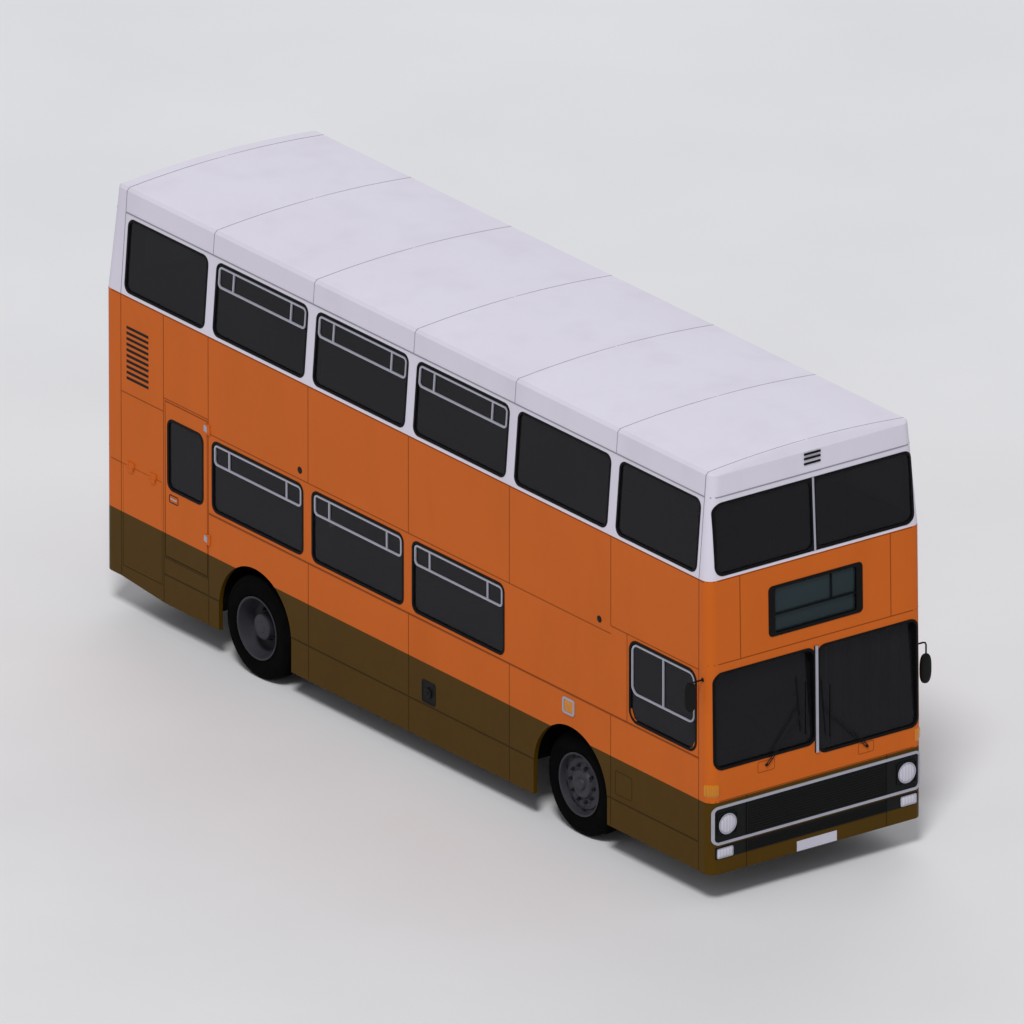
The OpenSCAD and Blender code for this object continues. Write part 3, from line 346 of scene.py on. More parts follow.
class Build:
    """Collects the faces of one piece, then makes its object."""

    def __init__(self):
        self.verts = []
        self.faces = []

    def grid(self, rows, close_u=False, close_v=False):
        """Faces between rows of points; close_u joins each row's ends, close_v the end rows."""
        base = len(self.verts)
        n = len(rows[0])
        for row in rows:
            self.verts.extend(tuple(p) for p in row)
        for i in range(len(rows) if close_v else len(rows) - 1):
            for j in range(n if close_u else n - 1):
                a, b = i, (i + 1) % len(rows)
                c, d = j, (j + 1) % n
                self.faces.append((base + a * n + c, base + a * n + d, base + b * n + d, base + b * n + c))
        return self

    def cap(self, points):
        base = len(self.verts)
        self.verts.extend(tuple(p) for p in points)
        self.faces.append(tuple(range(base, base + len(points))))
        return self

    def post(self, x, y, z0, z1, radius, sides=12):
        """An upright round bar."""
        return self.tube([(x, y, z0), (x, y, z1)], radius, sides)

    def capped(self, rows):
        """A closed form from rows of points, with a cap at each end."""
        return self.grid(rows, close_u=True).cap(rows[0][::-1]).cap(rows[-1])

    def block(self, low, high):
        """A box from corner to corner."""
        x, y, z = zip(low, high)
        base = len(self.verts)
        self.verts.extend((x[i], y[j], z[k]) for i in (0, 1) for j in (0, 1) for k in (0, 1))
        for f in ((0, 1, 3, 2), (4, 6, 7, 5), (0, 4, 5, 1), (2, 3, 7, 6), (0, 2, 6, 4), (1, 5, 7, 3)):
            self.faces.append(tuple(base + v for v in f))
        return self

    def tube(self, points, radius, sides=12):
        """A round tube through points, capped."""
        points = [Vector(p) for p in points]
        rows = []
        for i, p in enumerate(points):
            ahead = points[min(i + 1, len(points) - 1)] - points[max(i - 1, 0)]
            turn = ahead.to_track_quat("Z", "Y")
            rows.append([p + turn @ Vector((radius * math.cos(t), radius * math.sin(t), 0.0))
                         for t in circle(sides)])
        return self.capped(rows)

    def lathe(self, profile, centre, sides, close=False, axis=1):
        """(radius, distance along) pairs turned through centre about axis 0, 1 or 2: X, Y or Z."""
        rows = []
        for r, along in profile:
            row = []
            for t in circle(sides):
                arm = [r * math.cos(t), r * math.sin(t)]
                arm.insert(axis, along)
                row.append(Vector(centre) + Vector(arm))
            rows.append(row)
        return self.grid(rows, close_u=True, close_v=close)

    def done(self, name, material, body=ROOT, slot=None, smooth=False, bevel=0.0, replaces=None):
        """Makes the object, gives it its material, and hands it to the frame."""
        mesh = bpy.data.meshes.new(name)
        mesh.from_pydata(self.verts, [], self.faces)
        bm = bmesh.new()
        bm.from_mesh(mesh)
        bmesh.ops.remove_doubles(bm, verts=bm.verts, dist=1e-6)
        bmesh.ops.recalc_face_normals(bm, faces=bm.faces)
        bm.to_mesh(mesh)
        bm.free()
        for face in mesh.polygons:
            face.use_smooth = smooth
        obj = add(name, mesh)
        mesh.materials.append(M[material])
        if bevel:
            mod = obj.modifiers.new("bevel", "BEVEL")
            mod.width = bevel
            mod.segments = 2
            mod.limit_method = "ANGLE"
            mod.angle_limit = math.radians(40)
        if smooth:
            mesh.set_sharp_from_angle(angle=math.radians(38))
        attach(obj, body)
        if replaces:
            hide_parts(replaces)
        return obj


def builds(count):
    return [Build() for _ in range(count)]


def rounded(a0, a1, b0, b1, r, n=8):
    """Points of a rounded rectangle, anticlockwise."""
    points = []
    for q, (cx, cy) in enumerate(((a1 - r, b1 - r), (a0 + r, b1 - r), (a0 + r, b0 + r), (a1 - r, b0 + r))):
        for i in range(n + 1):
            t = math.pi / 2 * (q + i / n)
            points.append((cx + r * math.cos(t), cy + r * math.sin(t)))
    return points


# Maps from a flat outline to the bus's surfaces; out is the height above the surface


def side_map(side):
    """(x, z) on the lower or upper deck side."""
    def place(x, z, out):
        lean = TUMBLE * max(0.0, z - WAIST_Z)
        return Vector((x, side * (HALF_W - lean + out), z))
    return place


def face_drop(z):
    """How far the front face lies behind the foot of the front at height z, below the waist."""
    return (CHIN_DROP * clamp((z - CHIN_Z) / (BROW_Z - CHIN_Z))
            + BROW_DROP * clamp((z - BROW_Z) / (WAIST_Z - BROW_Z)))


def end_map(end):
    """(y, z) on the front (end 1) or rear (end -1), round the corners."""
    def place(y, z, out):
        above = clamp(z - WAIST_Z, 0.0, GUTTER_Z - WAIST_Z)
        lean = above / (GUTTER_Z - WAIST_Z)
        face = FRONT_X - face_drop(z) - FRONT_LEAN * lean if end > 0 else -REAR_X - REAR_LEAN * lean
        over = clamp(abs(y) - (HALF_W - TUMBLE * above - CORNER_R), 0.0, CORNER_R)
        drop = CORNER_R - math.sqrt(CORNER_R ** 2 - over ** 2)
        normal_y = math.copysign(over / CORNER_R, y)
        normal_x = math.sqrt(1.0 - normal_y ** 2)
        return Vector((end * (face - drop + out * normal_x), y + out * normal_y, z))
    return place


def ring(build, place, outer, inner, low, high):
    """A frame between two outlines with as many points; low may be a function of height."""
    def under(p):
        return low(p[1]) if callable(low) else low
    rows = [[place(p[0], p[1], under(p)) for p in outer], [place(p[0], p[1], high) for p in outer],
            [place(p[0], p[1], high) for p in inner], [place(p[0], p[1], under(p)) for p in inner]]
    build.grid(rows, close_u=True, close_v=True)


def frame_ring(build, place, rect, r, width, low, high, n=8):
    """A rounded rectangular frame that lies outside rect by width."""
    outer = rounded(*inset(rect, -width), r + width, n)
    inner = rounded(*rect, r, n)
    dense = ([], [])
    for i in range(len(outer)):
        j = (i + 1) % len(outer)
        count = max(1, int(math.dist(outer[i], outer[j]) / 0.06))
        for points, result in ((outer, dense[0]), (inner, dense[1])):
            for k in range(count):
                result.append(tuple(u + (v - u) * k / count for u, v in zip(points[i], points[j])))
    ring(build, place, dense[0], dense[1], low, high)


def strip(build, place, a, b, width, low, high):
    """A straight strip from a to b on a surface."""
    (a0, a1), (b0, b1) = a, b
    length = math.hypot(b0 - a0, b1 - a1)
    nx, ny = -(b1 - a1) / length * width / 2, (b0 - a0) / length * width / 2
    count = max(1, int(length / 0.05))
    rows = []
    for k in range(count + 1):
        t = k / count
        x, y = a0 + (b0 - a0) * t, a1 + (b1 - a1) * t
        rows.append([place(x + nx, y + ny, low), place(x + nx, y + ny, high),
                     place(x - nx, y - ny, high), place(x - nx, y - ny, low)])
    build.capped(rows)


def inset(rect, d):
    """A rectangle brought in by d on all sides."""
    a0, a1, b0, b1 = rect
    return a0 + d, a1 - d, b0 + d, b1 - d


def domed(build, place, rect, low, rise, power, across, up):
    """A lens over rect that swells by rise at its middle, with across by up faces."""
    a0, a1, b0, b1 = rect
    rows = []
    for i in range(across + 1):
        u = i / across
        swell = rise * (1 - (2 * u - 1) ** power)
        rows.append([place(a0 + (a1 - a0) * u, b0 + (b1 - b0) * v / up,
                           low + swell * (1 - (2 * v / up - 1) ** power)) for v in range(up + 1)])
    build.grid(rows)


def panes(build, place, rect, lap, *depths):
    """Flat sheets of glass that reach past rect by lap."""
    a0, a1, b0, b1 = inset(rect, -lap)
    for depth in depths:
        build.grid([[place(a, b, depth) for b in (b0, b1)] for a in (a0, a1)])


# ---- windows: rubber gaskets and alloy hopper frames ----
LOWER_SILL, LOWER_HEAD = 1.497, 2.213
UPPER_SILL, UPPER_HEAD = 3.290, 4.010
PILLAR = 0.140
WINDOW_R = 0.080
RUBBER_W = 0.018
LOWER = [(SEAM_X[i] + PILLAR / 2 - 0.008, SEAM_X[i + 1] - PILLAR / 2 - 0.010) for i in (1, 2, 3, 4)]
UPPER = [(SEAM_X[i] + (0.055 if i == 0 else PILLAR / 2), SEAM_X[i + 1] - (0.048 if i == 5 else PILLAR / 2))
         for i in range(6)]
GLASS_DEPTH = 0.012


def gasket(build, place, rect, r):
    """The black rubber round a window, half on the panel and half on the glass."""
    low = 0.0005 - GLASS_DEPTH
    frame_ring(build, place, inset(rect, RUBBER_W), r - RUBBER_W, RUBBER_W + 0.007, low, 0.004)


def hopper(build, place, rect, depth):
    """The alloy frame of a sliding top light with its two dividers."""
    edge, bar = 0.030, 0.020
    low, high = -GLASS_DEPTH + 0.0004, 0.001
    x0, x1, top, bottom = rect[0] + edge, rect[1] - edge, rect[3] - edge, rect[3] - depth
    frame_ring(build, place, inset((x0, x1, bottom, top), bar), 0.030, bar, low, high)
    for x in (x0 + 0.235, x1 - 0.235):
        strip(build, place, (x, bottom + bar / 2), (x, top - bar / 2), bar, low, high - 0.0005)


def make_windows():
    """Side windows of both decks; those that open have top lights."""
    rubber, alloy = builds(2)
    for side, last in ((-1, 3), (1, 4)):
        place = side_map(side)
        windows = [(span, LOWER_SILL, LOWER_HEAD, 0.240) for span in LOWER[:last]]
        windows += [(span, UPPER_SILL, UPPER_HEAD, 0.245 if i in (1, 2, 3) else None)
                    for i, span in enumerate(UPPER)]
        for (x0, x1), sill, head, opening in windows:
            gasket(rubber, place, (x0, x1, sill, head), WINDOW_R)
            if opening:
                hopper(alloy, place, (x0, x1, sill, head), opening)
    rubber.done("side_window_rubbers", "rubber")
    alloy.done("side_window_hoppers", "silver")


make_windows()

# ---- panel seams ----
FLAP_REAR_X, FLAP_HEAD = -4.453, 1.525
DOOR_X0 = 3.290
EXIT_REAR_X = SEAM_X[1] - 0.71
CORNER_Y = HALF_W - 0.02
AXLES = (2.584, -2.366)
ARCH_HALF = 0.575
SEAM_W = 0.009
SEAM_LOW, SEAM_HIGH = -0.001, 0.0012


def seam(build, place, a, b):
    """A thin cover strip from a to b, in darkened paint: painted shade along the joint."""
    strip(build, place, a, b, SEAM_W, SEAM_LOW, SEAM_HIGH)


def make_seams():
    """Cover strips over the joints between the body panels, darker than the body: painted shade along the
    joints.
    """
    build = Build()
    x0, x1, x2, x3, x4, x5, x6 = SEAM_X
    eaves = UPPER_HEAD + 0.047
    for side in (-1, 1):
        place = side_map(side)
        lines = [(x0, 0.380, eaves), (x1, 0.320, WAIST_Z), (x5, 0.330, 1.450), (x5, 2.340, WAIST_Z),
                 (x6, 0.320, eaves)]
        for x in (x2, x3, x4):
            lines += [(x, 0.262, 1.450), (x, 2.260, WAIST_Z)]
        rails = [(x1, x5, 2.260), (x0, EXIT_REAR_X, 2.260), (x5, x6, 2.340)]
        if side < 0:
            lines += [(EXIT_REAR_X, 0.320, WAIST_Z), (3.464, 1.450, 2.340)]
            rails += [(EXIT_REAR_X, x1, 2.400), (REAR_X + 0.10, FLAP_REAR_X - 0.012, FLAP_HEAD + 0.003),
                      (EXIT_REAR_X, x1, 0.780)]
        for x, z0, z1 in lines:
            seam(build, place, (x, z0), (x, z1))
        for a, b, z in rails:
            seam(build, place, (a, z), (b, z))
        last = x6 if side < 0 else DOOR_X0
        strip(build, place, (x1, 1.450), (last, 1.450), 0.016, SEAM_LOW, SEAM_HIGH + 0.002)
        strip(build, place, (x0 - 0.15, WAIST_Z), (x6 + 0.07, WAIST_Z), 0.011, SEAM_LOW, SEAM_HIGH)
        for a, b in ((EXIT_REAR_X if side < 0 else x0, AXLES[1] - ARCH_HALF),
                     (AXLES[1] + ARCH_HALF, AXLES[0] - ARCH_HALF), (AXLES[0] + ARCH_HALF, last)):
            strip(build, place, (a, 0.608), (b, 0.608), 0.012, SEAM_LOW, SEAM_HIGH + 0.001)
    front, rear = end_map(1), end_map(-1)
    for z in (WAIST_Z, BROW_Z, 1.040, 0.608):
        seam(build, front, (-CORNER_Y, z), (CORNER_Y, z))
    for z in (WAIST_Z, 2.360):
        seam(build, rear, (-CORNER_Y, z), (CORNER_Y, z))
    for s in (-1, 1):
        for y, z0, z1 in ((0.880, BROW_Z, WAIST_Z), (0.820, 0.312, 0.455), (0.820, 0.985, 1.040)):
            seam(build, front, (s * y, z0), (s * y, z1))
        seam(build, rear, (s * CORNER_Y, 1.640), (s * 0.270, 1.640))
        seam(build, rear, (s * 0.960, 0.380), (s * 0.960, WAIST_Z))
    # the outlines of small flaps, in the same painted shade along their gaps
    for place, rect in ((side_map(-1), (3.287, 3.537, 0.677, 0.903)), (front, (-0.687, -0.499, 1.221, 1.320)),
                        (front, (0.489, 0.663, 1.121, 1.220))):
        frame_ring(build, place, rect, 0.012, 0.006, SEAM_LOW, SEAM_HIGH, 3)
    build.done("panel_seams", "seam_painted_shade", slot="paint_orange")


make_seams()


def make_roof_ribs():
    """Cover strips across the roof at each bay, and down to the gutter, in darkened paint: painted shade
    along the joints.
    """
    build = Build()
    top_z = roof_high.z
    shoulder_z = top_z - 0.083
    edge_z = shoulder_z + 0.028
    crown_half = HALF_W - TUMBLE * (shoulder_z - WAIST_Z) - 0.030
    climb = []
    for k in range(7):
        z = GUTTER_Z + (shoulder_z - GUTTER_Z) * k / 6
        climb.append((HALF_W - TUMBLE * (z - WAIST_Z) + 0.0008, z))
    crown = []
    for k in range(17):
        t = 1 - k / 8
        crown.append((crown_half * t, edge_z + (top_z - edge_z) * (1 - t * t) + 0.0012))
    path = climb + crown + [(-y, z) for y, z in reversed(climb)]
    for x in SEAM_X:
        build.grid([[Vector((x + d, y, min(z, top_z - 0.00005))) for d in (-SEAM_W / 2, SEAM_W / 2)]
                    for y, z in path])
    obj = build.done("roof_cover_strips", "seam_painted_shade")
    obj.modifiers.new("thick", "SOLIDIFY").thickness = 0.002


make_roof_ribs()


def make_gutter():
    """The rain gutter all round, under the roof edge, in darkened paint: painted shade under the roof edge.
    """
    build = Build()
    for side in (-1, 1):
        strip(build, side_map(side), (side_low.x, GUTTER_Z), (side_high.x, GUTTER_Z), 0.012, -0.001, 0.004)
        reach = CORNER_Y - SIDE_LEAN
        strip(build, end_map(side), (-reach, GUTTER_Z), (reach, GUTTER_Z), 0.012, -0.001, 0.003)
    build.done("rain_gutter", "seam_painted_shade")


make_gutter()

# ---- front and rear windows ----
LAP = 0.012
SLEEVE = 0.016
SCREEN_FOOT, SCREEN_SLOPE = 1.2, 0.0811 / 1.2
HALF_UPPER = HALF_W - 0.095
END_HEAD = UPPER_HEAD - 0.020


def screen_depth(z):
    """Depth of the raked windscreen behind the front face at height z."""
    return face_drop(z) - 0.013 - SCREEN_SLOPE * (z - SCREEN_FOOT)


def glazed(build, place, hole, r, low=-0.0125, high=0.004):
    """The rubber of a fixed window: a lip on the panel and a sleeve down to the glass."""
    inner = inset(hole, SLEEVE)
    frame_ring(build, place, inner, r - SLEEVE, SLEEVE - 0.0006, low, high - 0.0005)
    frame_ring(build, place, inner, r - SLEEVE, SLEEVE + LAP, -0.0005, high)


def square_corner(build, place, s, z, up):
    """Black fill that squares off the rounded inner corner of a front upper pane."""
    reach, steps = 0.104, 8
    rows = []
    for k in range(steps + 1):
        c, d = math.cos(math.pi / 2 * k / steps), math.sin(math.pi / 2 * k / steps)
        most = max(c, d)
        arc = (s * (reach - 0.096 * c), z + up * (0.090 - 0.096 * d))
        edge = (s * reach * (1 - c / most), z + up * (0.090 - 0.102 * d / most))
        rows.append([place(*arc, 0.0035), place(*edge, 0.0035), place(*edge, -0.0005)])
    build.grid(rows)


def make_end_windows():
    """Rubbers, centre pillars and the destination box frame."""
    rubber, alloy = builds(2)
    front, rear, offside = end_map(1), end_map(-1), side_map(-1)
    for a0, a1, b0 in ((-1.190, -0.018, 1.361), (0.018, 1.190, 1.249)):
        glazed(rubber, front, (a0, a1, b0, 2.314), 0.090, screen_depth, 0.005)
    strip(alloy, front, (0.0, 1.262), (0.0, 2.330), 0.030, -0.002, 0.014)
    strip(rubber, front, (0.0, 1.262), (0.0, 2.330), 0.046, -0.002, 0.006)
    for a0, a1 in ((-HALF_UPPER, -0.014), (0.014, HALF_UPPER)):
        glazed(rubber, front, (a0, a1, UPPER_SILL, END_HEAD), 0.090)
    # the two upper panes read as one window with a bar
    strip(rubber, front, (0.0, UPPER_SILL - 0.011), (0.0, END_HEAD + 0.011), 0.034, -0.002, 0.0042)
    for s in (-1, 1):
        square_corner(rubber, front, s, UPPER_SILL, 1)
        square_corner(rubber, front, s, END_HEAD, -1)
    strip(alloy, front, (0.0, UPPER_SILL - 0.010), (0.0, END_HEAD + 0.010), 0.022, -0.010, 0.007)
    # destination box: a black surround, broad at the sides, with two dividers
    glazed(rubber, front, (-0.490, 0.490, 2.556, 3.024), 0.040, -0.030, 0.006)
    frame_ring(rubber, front, (-0.532, 0.532, 2.556, 3.024), 0.030, 0.018, -0.002, 0.0055)
    for s in (-1, 1):
        strip(rubber, front, (s * 0.510, 2.550), (s * 0.510, 3.030), 0.054, -0.002, 0.005)
    strip(rubber, front, (-0.480, 2.748), (0.480, 2.748), 0.012, -0.012, 0.002)
    strip(rubber, front, (0.190, 2.748), (0.190, 3.014), 0.010, -0.012, 0.0015)
    glazed(rubber, rear, (-0.860, 0.860, 1.760, 2.240), 0.080)
    glazed(rubber, rear, (-0.820, 0.820, UPPER_SILL, END_HEAD), 0.090)
    # cab side window: alloy frame with a sliding upper part
    glazed(rubber, offside, (3.507, 4.534, 1.490, 2.300), 0.110)
    frame_ring(alloy, offside, (3.552, 4.489, 1.783, 2.255), 0.070, 0.020, -0.0115, 0.001)
    strip(alloy, offside, (4.021, 1.783), (4.021, 2.255), 0.020, -0.0115, 0.0005)
    rubber.done("end_window_rubbers", "rubber")
    alloy.done("end_window_alloy", "silver")


make_end_windows()

LAMP_Y, LAMP_Z, LAMP_R = 1.050, 0.802, 0.100
GRILLE = (-1.190, 1.190, 0.632, 0.968)


def make_grille():
    """Ribbed black grille in a bright surround, with the strip for the low lamps under it."""
    front = end_map(1)
    black, bright = builds(2)
    frame_ring(bright, front, GRILLE, 0.040, 0.026, -0.002, 0.012)
    # backing over the whole grille, and the darker strip below
    for a0, a1, b0, b1 in (GRILLE, (-1.185, 1.185, 0.462, 0.582)):
        black.grid([[front(a0 + (a1 - a0) * k / 60, z, 0.003) for z in (b0, b1)] for k in range(61)])
    for z0, z1, pitch in ((0.646, 0.958, 0.026), (0.474, 0.574, 0.020)):
        for k in range(int((z1 - z0) / pitch) + 1):
            z = z0 + k * pitch
            strip(black, front, (-0.815, z), (0.815, z), pitch * 0.42, 0.002, 0.009)
    for s in (-1, 1):
        for z0, z1 in ((0.640, 0.962), (0.466, 0.578)):
            strip(black, front, (s * 0.820, z0), (s * 0.820, z1), 0.010, 0.002, 0.010)
        middle = (s * LAMP_Y, s * LAMP_Y, LAMP_Z, LAMP_Z)
        frame_ring(black, front, inset(middle, -0.104), 0.02, 0.012, 0.002, 0.012, 4)
    black.done("grille_ribs", "black")
    bright.done("grille_surround", "silver")


make_grille()


def make_lamps():
    """Round headlamps with domed lenses, and rectangular fog lamps with bright rims."""
    lens, rim, amber = builds(3)
    front = end_map(1)
    for s in (-1, 1):
        centre = (FRONT_X, s * LAMP_Y, LAMP_Z)
        profile = ((-0.010, 0.002), (0.0, 0.008), (0.004, 0.014), (-0.004, 0.018), (-0.012, 0.014),
                   (-0.014, 0.002))
        rim.lathe([(LAMP_R + r, x) for r, x in profile], centre, 56, True, axis=0)
        quarter = [math.pi / 20 * k for k in range(11)]
        dome = [(0.92 * LAMP_R * math.cos(t), 0.006 + 0.014 * math.sin(t)) for t in quarter]
        lens.lathe(dome, centre, 56, axis=0)
        fog = (s * 1.075 - 0.088, s * 1.075 + 0.088, 0.474, 0.562)
        domed(lens, front, fog, 0.004, 0.010, 4, 10, 6)
        frame_ring(rim, front, fog, 0.012, 0.006, 0.002, 0.009, 4)
        # amber turn lamps wrapped round the corners, their edges let into the panel
        y_in, y_out = s * 1.147, s * (HALF_W - 0.001)
        amber.grid([[front(y_in + (y_out - y_in) * i / 14, 1.084 + 0.131 * v / 6,
                           0.010 if i and 0 < v < 6 else -0.002) for v in range(7)] for i in range(15)])
    lens.done("front_lenses", "lamp", smooth=True, replaces="front_lamps")
    rim.done("front_lamp_rims", "silver", smooth=True)
    amber.done("corner_turn_lamps", "amber", smooth=True, replaces="indicator_lamps")


make_lamps()


def make_side_details():
    """Louvres, round vents, fuel filler and side turn lamps."""
    place = side_map(-1)
    black, bright, amber = builds(3)
    for k in range(10):
        z = 2.420 + 0.057 * k
        strip(black, place, (-4.396, z), (-4.049, z), 0.027, -0.001, 0.002)
    for x, z in ((-1.653, 2.350), (3.034, 2.350)):
        black.lathe([(0.035, 0.001), (0.035, -0.002), (0.028, -0.004), (0.0001, -0.004)], (x, -HALF_W, z), 24)
    for side in (-1, 1):
        rect = (2.490, 2.631, 1.256, 1.377)
        frame_ring(bright, side_map(side), rect, 0.012, 0.022, -0.001, 0.010, 4)
        domed(amber, side_map(side), rect, 0.004, 0.006, 2, 8, 8)
    # fuel filler: dark recess with its cap
    rect = (0.279, 0.463, 0.645, 0.845)
    frame_ring(black, place, rect, 0.015, 0.016, -0.001, 0.004, 4)
    panes(black, place, rect, 0.0, 0.0006)
    black.lathe([(0.055, 0.0), (0.055, -0.012), (0.048, -0.018), (0.020, -0.018), (0.018, -0.024),
                 (0.0001, -0.024)], (0.367, -HALF_W, 0.740), 36)
    for z in (4.245, 4.199, 4.149):
        strip(black, end_map(1), (-0.095, z), (0.095, z), 0.020, -0.004, 0.004)
    black.done("vents_and_filler", "black", smooth=True)
    bright.done("side_lamp_frames", "silver", smooth=True)
    amber.done("side_turn_lamps", "amber", smooth=True)


make_side_details()

# ---- wheels ----


TYRE_R, RIM_R, HALF_TREAD = 0.510, 0.300, 0.140
# Wheel profiles: (radius from the rim's or to the tyre's, distance in from the side wall)
BEAD = ((0.0005, 0.026), (0.010, 0.012), (0.028, 0.005), (0.034, 0.0085), (0.040, 0.005), (0.085, 0.001))
SHOULDER = ((0.080, 0.001), (0.060, 0.006), (0.056, 0.003), (0.030, 0.016), (0.010, 0.030), (0.002, 0.046))
FLANGE = ((0.010, 0.012), (0.012, 0.002), (0.004, 0.0), (-0.006, 0.006), (-0.012, 0.030))
# Wheel faces: (radius, distance out from the wheel's centre plane)
FRONT_FACE = ((0.282, 0.075), (0.262, 0.072), (0.250, 0.086), (0.215, 0.092), (0.205, 0.086), (0.150, 0.086),
              (0.140, 0.100), (0.130, 0.112), (0.112, 0.114), (0.100, 0.112), (0.064, 0.112), (0.060, 0.124),
              (0.050, 0.134), (0.0001, 0.136))
REAR_FACE = ((0.280, 0.040), (0.270, -0.030), (0.256, -0.060), (0.225, -0.078), (0.205, -0.082),
             (0.150, -0.082), (0.142, -0.060), (0.130, 0.020), (0.122, 0.076), (0.108, 0.086), (0.060, 0.088),
             (0.054, 0.094), (0.0001, 0.095))
INNER_FACE = ((0.0001, -0.110), (0.100, -0.110), (0.110, -0.080), (0.278, -0.060), (0.284, -0.124),
              (0.304, -0.138), (0.310, -0.130), (0.299, -0.110), (0.299, 0.110))
NUT = ((0.017, 0.0), (0.017, 0.020), (0.013, 0.025), (0.009, 0.025), (0.009, 0.038), (0.0001, 0.038))
NUT_CIRCLE, HOLE_CIRCLE = 0.178, 0.268


def finish_wheel(name, x, s, front):
    """One wheel body: s is the side, and a rear one carries twin wheels."""
    centres = [s * 1.014] if front else [s * 1.094, s * 0.774]
    tyre, disc, dark, nuts = builds(4)
    half_tyre = [(RIM_R + r, HALF_TREAD - w) for r, w in BEAD]
    half_tyre += [(TYRE_R - r, HALF_TREAD - w) for r, w in SHOULDER]
    profile = list(half_tyre)
    for groove in (0.062, 0.022, -0.022, -0.062):
        profile += [(TYRE_R - r, groove + w) for r, w in ((0.0006, 0.006), (0.014, 0.004), (0.014, -0.004),
                                                          (0.0006, -0.006))]
    profile += [(r, -w) for r, w in reversed(half_tyre)]
    for cy in centres:
        tyre.lathe(profile, (x, cy, TYRE_R), 96, True)
    tyre.done(name + "_tyre", "tyre", name, smooth=True, replaces=name.replace("wheel", "tyre"))
    outer, inner = (x, centres[0], TYRE_R), (x, centres[-1], TYRE_R)

    def turned(profile, centre, sides=72):
        disc.lathe([(r, s * w) for r, w in profile], centre, sides)
    flange = tuple((RIM_R + r, HALF_TREAD - w) for r, w in FLANGE)
    turned(flange + (FRONT_FACE if front else REAR_FACE), outer)
    turned(INNER_FACE, inner)
    if not front:
        turned(((0.115, -0.09), (0.115, 0.08 - abs(centres[0] - centres[1]))), outer, 48)
        turned(flange[::-1], inner)
        turned(((0.288, 0.110), (0.280, -0.060)), inner)
    for t in circle(10):
        nut = (x + NUT_CIRCLE * math.cos(t), centres[0], TYRE_R + NUT_CIRCLE * math.sin(t))
        nut_face = 0.086 if front else -0.082
        nuts.lathe([(r, s * (nut_face + w)) for r, w in NUT], nut, 6)
        if front:
            # black discs on the disc face: painted shade where the hand holes would show through; no holes
            # are cut
            t += 0.314
            hole = (x + HOLE_CIRCLE * math.cos(t), centres[0], TYRE_R + HOLE_CIRCLE * math.sin(t))
            dark.lathe([(0.026, s * 0.0705), (0.025, s * 0.078), (0.0001, s * 0.078)], hole, 20)
    disc.done(name + "_disc", "rim", name, smooth=True, replaces=name.replace("wheel", "rim"))
    nuts.done(name + "_nuts", "dark_rim_and_hole_shade", name)
    if front:
        dark.done(name + "_hand_hole_shade", "dark_rim_and_hole_shade", name)


for wheel_side, word in ((-1, "right"), (1, "left")):
    finish_wheel("front_wheel_" + word, AXLES[0], wheel_side, True)
    finish_wheel("rear_wheels_" + word, AXLES[1], wheel_side, False)

# ---- doors and flaps on the sides ----
# name, rear and front edge, knee hinge (outer leaves only), and the shaft or the soft meeting edge
LEAVES = (("entrance_leaf_1", 4.188, 4.466, 4.183, 4.464), ("entrance_leaf_2", 3.902, 4.178, None, 3.902),
          ("entrance_leaf_3", 3.602, 3.878, None, 3.878), ("entrance_leaf_4", 3.314, 3.592, 3.597, 3.316))
LEAF_FACE, SHAFT_Y = 1.240, 1.224
LEAF_Z0, LEAF_Z1 = 0.342, 2.288


def leaf_map(x, z, out):
    """(x, z) on the outer face of the closed entrance doors."""
    return Vector((x, LEAF_FACE + out, z))


def framed_panel(build, place, rect, window, r, thickness):
    """A door panel of even thickness with a rounded window in it."""
    ring(build, place, rounded(*rect, 0.004), rounded(*window, r), -thickness, 0.0)


def make_entrance_doors():
    """Four folding leaves: alloy frames, tinted panes, rubber edges, knee hinges and shafts."""
    for name, x0, x1, knee_x, edge_x in LEAVES:
        window = (x0 + 0.045, x1 - 0.045, LEAF_Z0 + 0.120, LEAF_Z1 - 0.110)
        alloy, pane, rubber = builds(3)
        framed_panel(alloy, leaf_map, (x0, x1, LEAF_Z0, LEAF_Z1), window, 0.050, 0.032)
        panes(pane, leaf_map, window, 0.004, -0.013, -0.019)
        frame_ring(rubber, leaf_map, inset(window, 0.012), 0.038, 0.014, -0.012, 0.002)
        if knee_x:
            for z in (0.592, 2.038):
                alloy.post(knee_x, 1.245, z - 0.030, z + 0.030, 0.007, 16)
            alloy.post(edge_x, SHAFT_Y, LEAF_Z0 - 0.011, LEAF_Z1 + 0.011, 0.010, 20)
        else:
            rubber.post(edge_x, SHAFT_Y, LEAF_Z0 + 0.002, LEAF_Z1 - 0.002, 0.010)
        alloy.done(name + "_frame", "silver", name, bevel=0.002, replaces=name)
        pane.done(name + "_pane", "glass", name)
        rubber.done(name + "_rubber", "rubber", name)


make_entrance_doors()


EXIT_HINGE_Z = (1.180, 2.300)


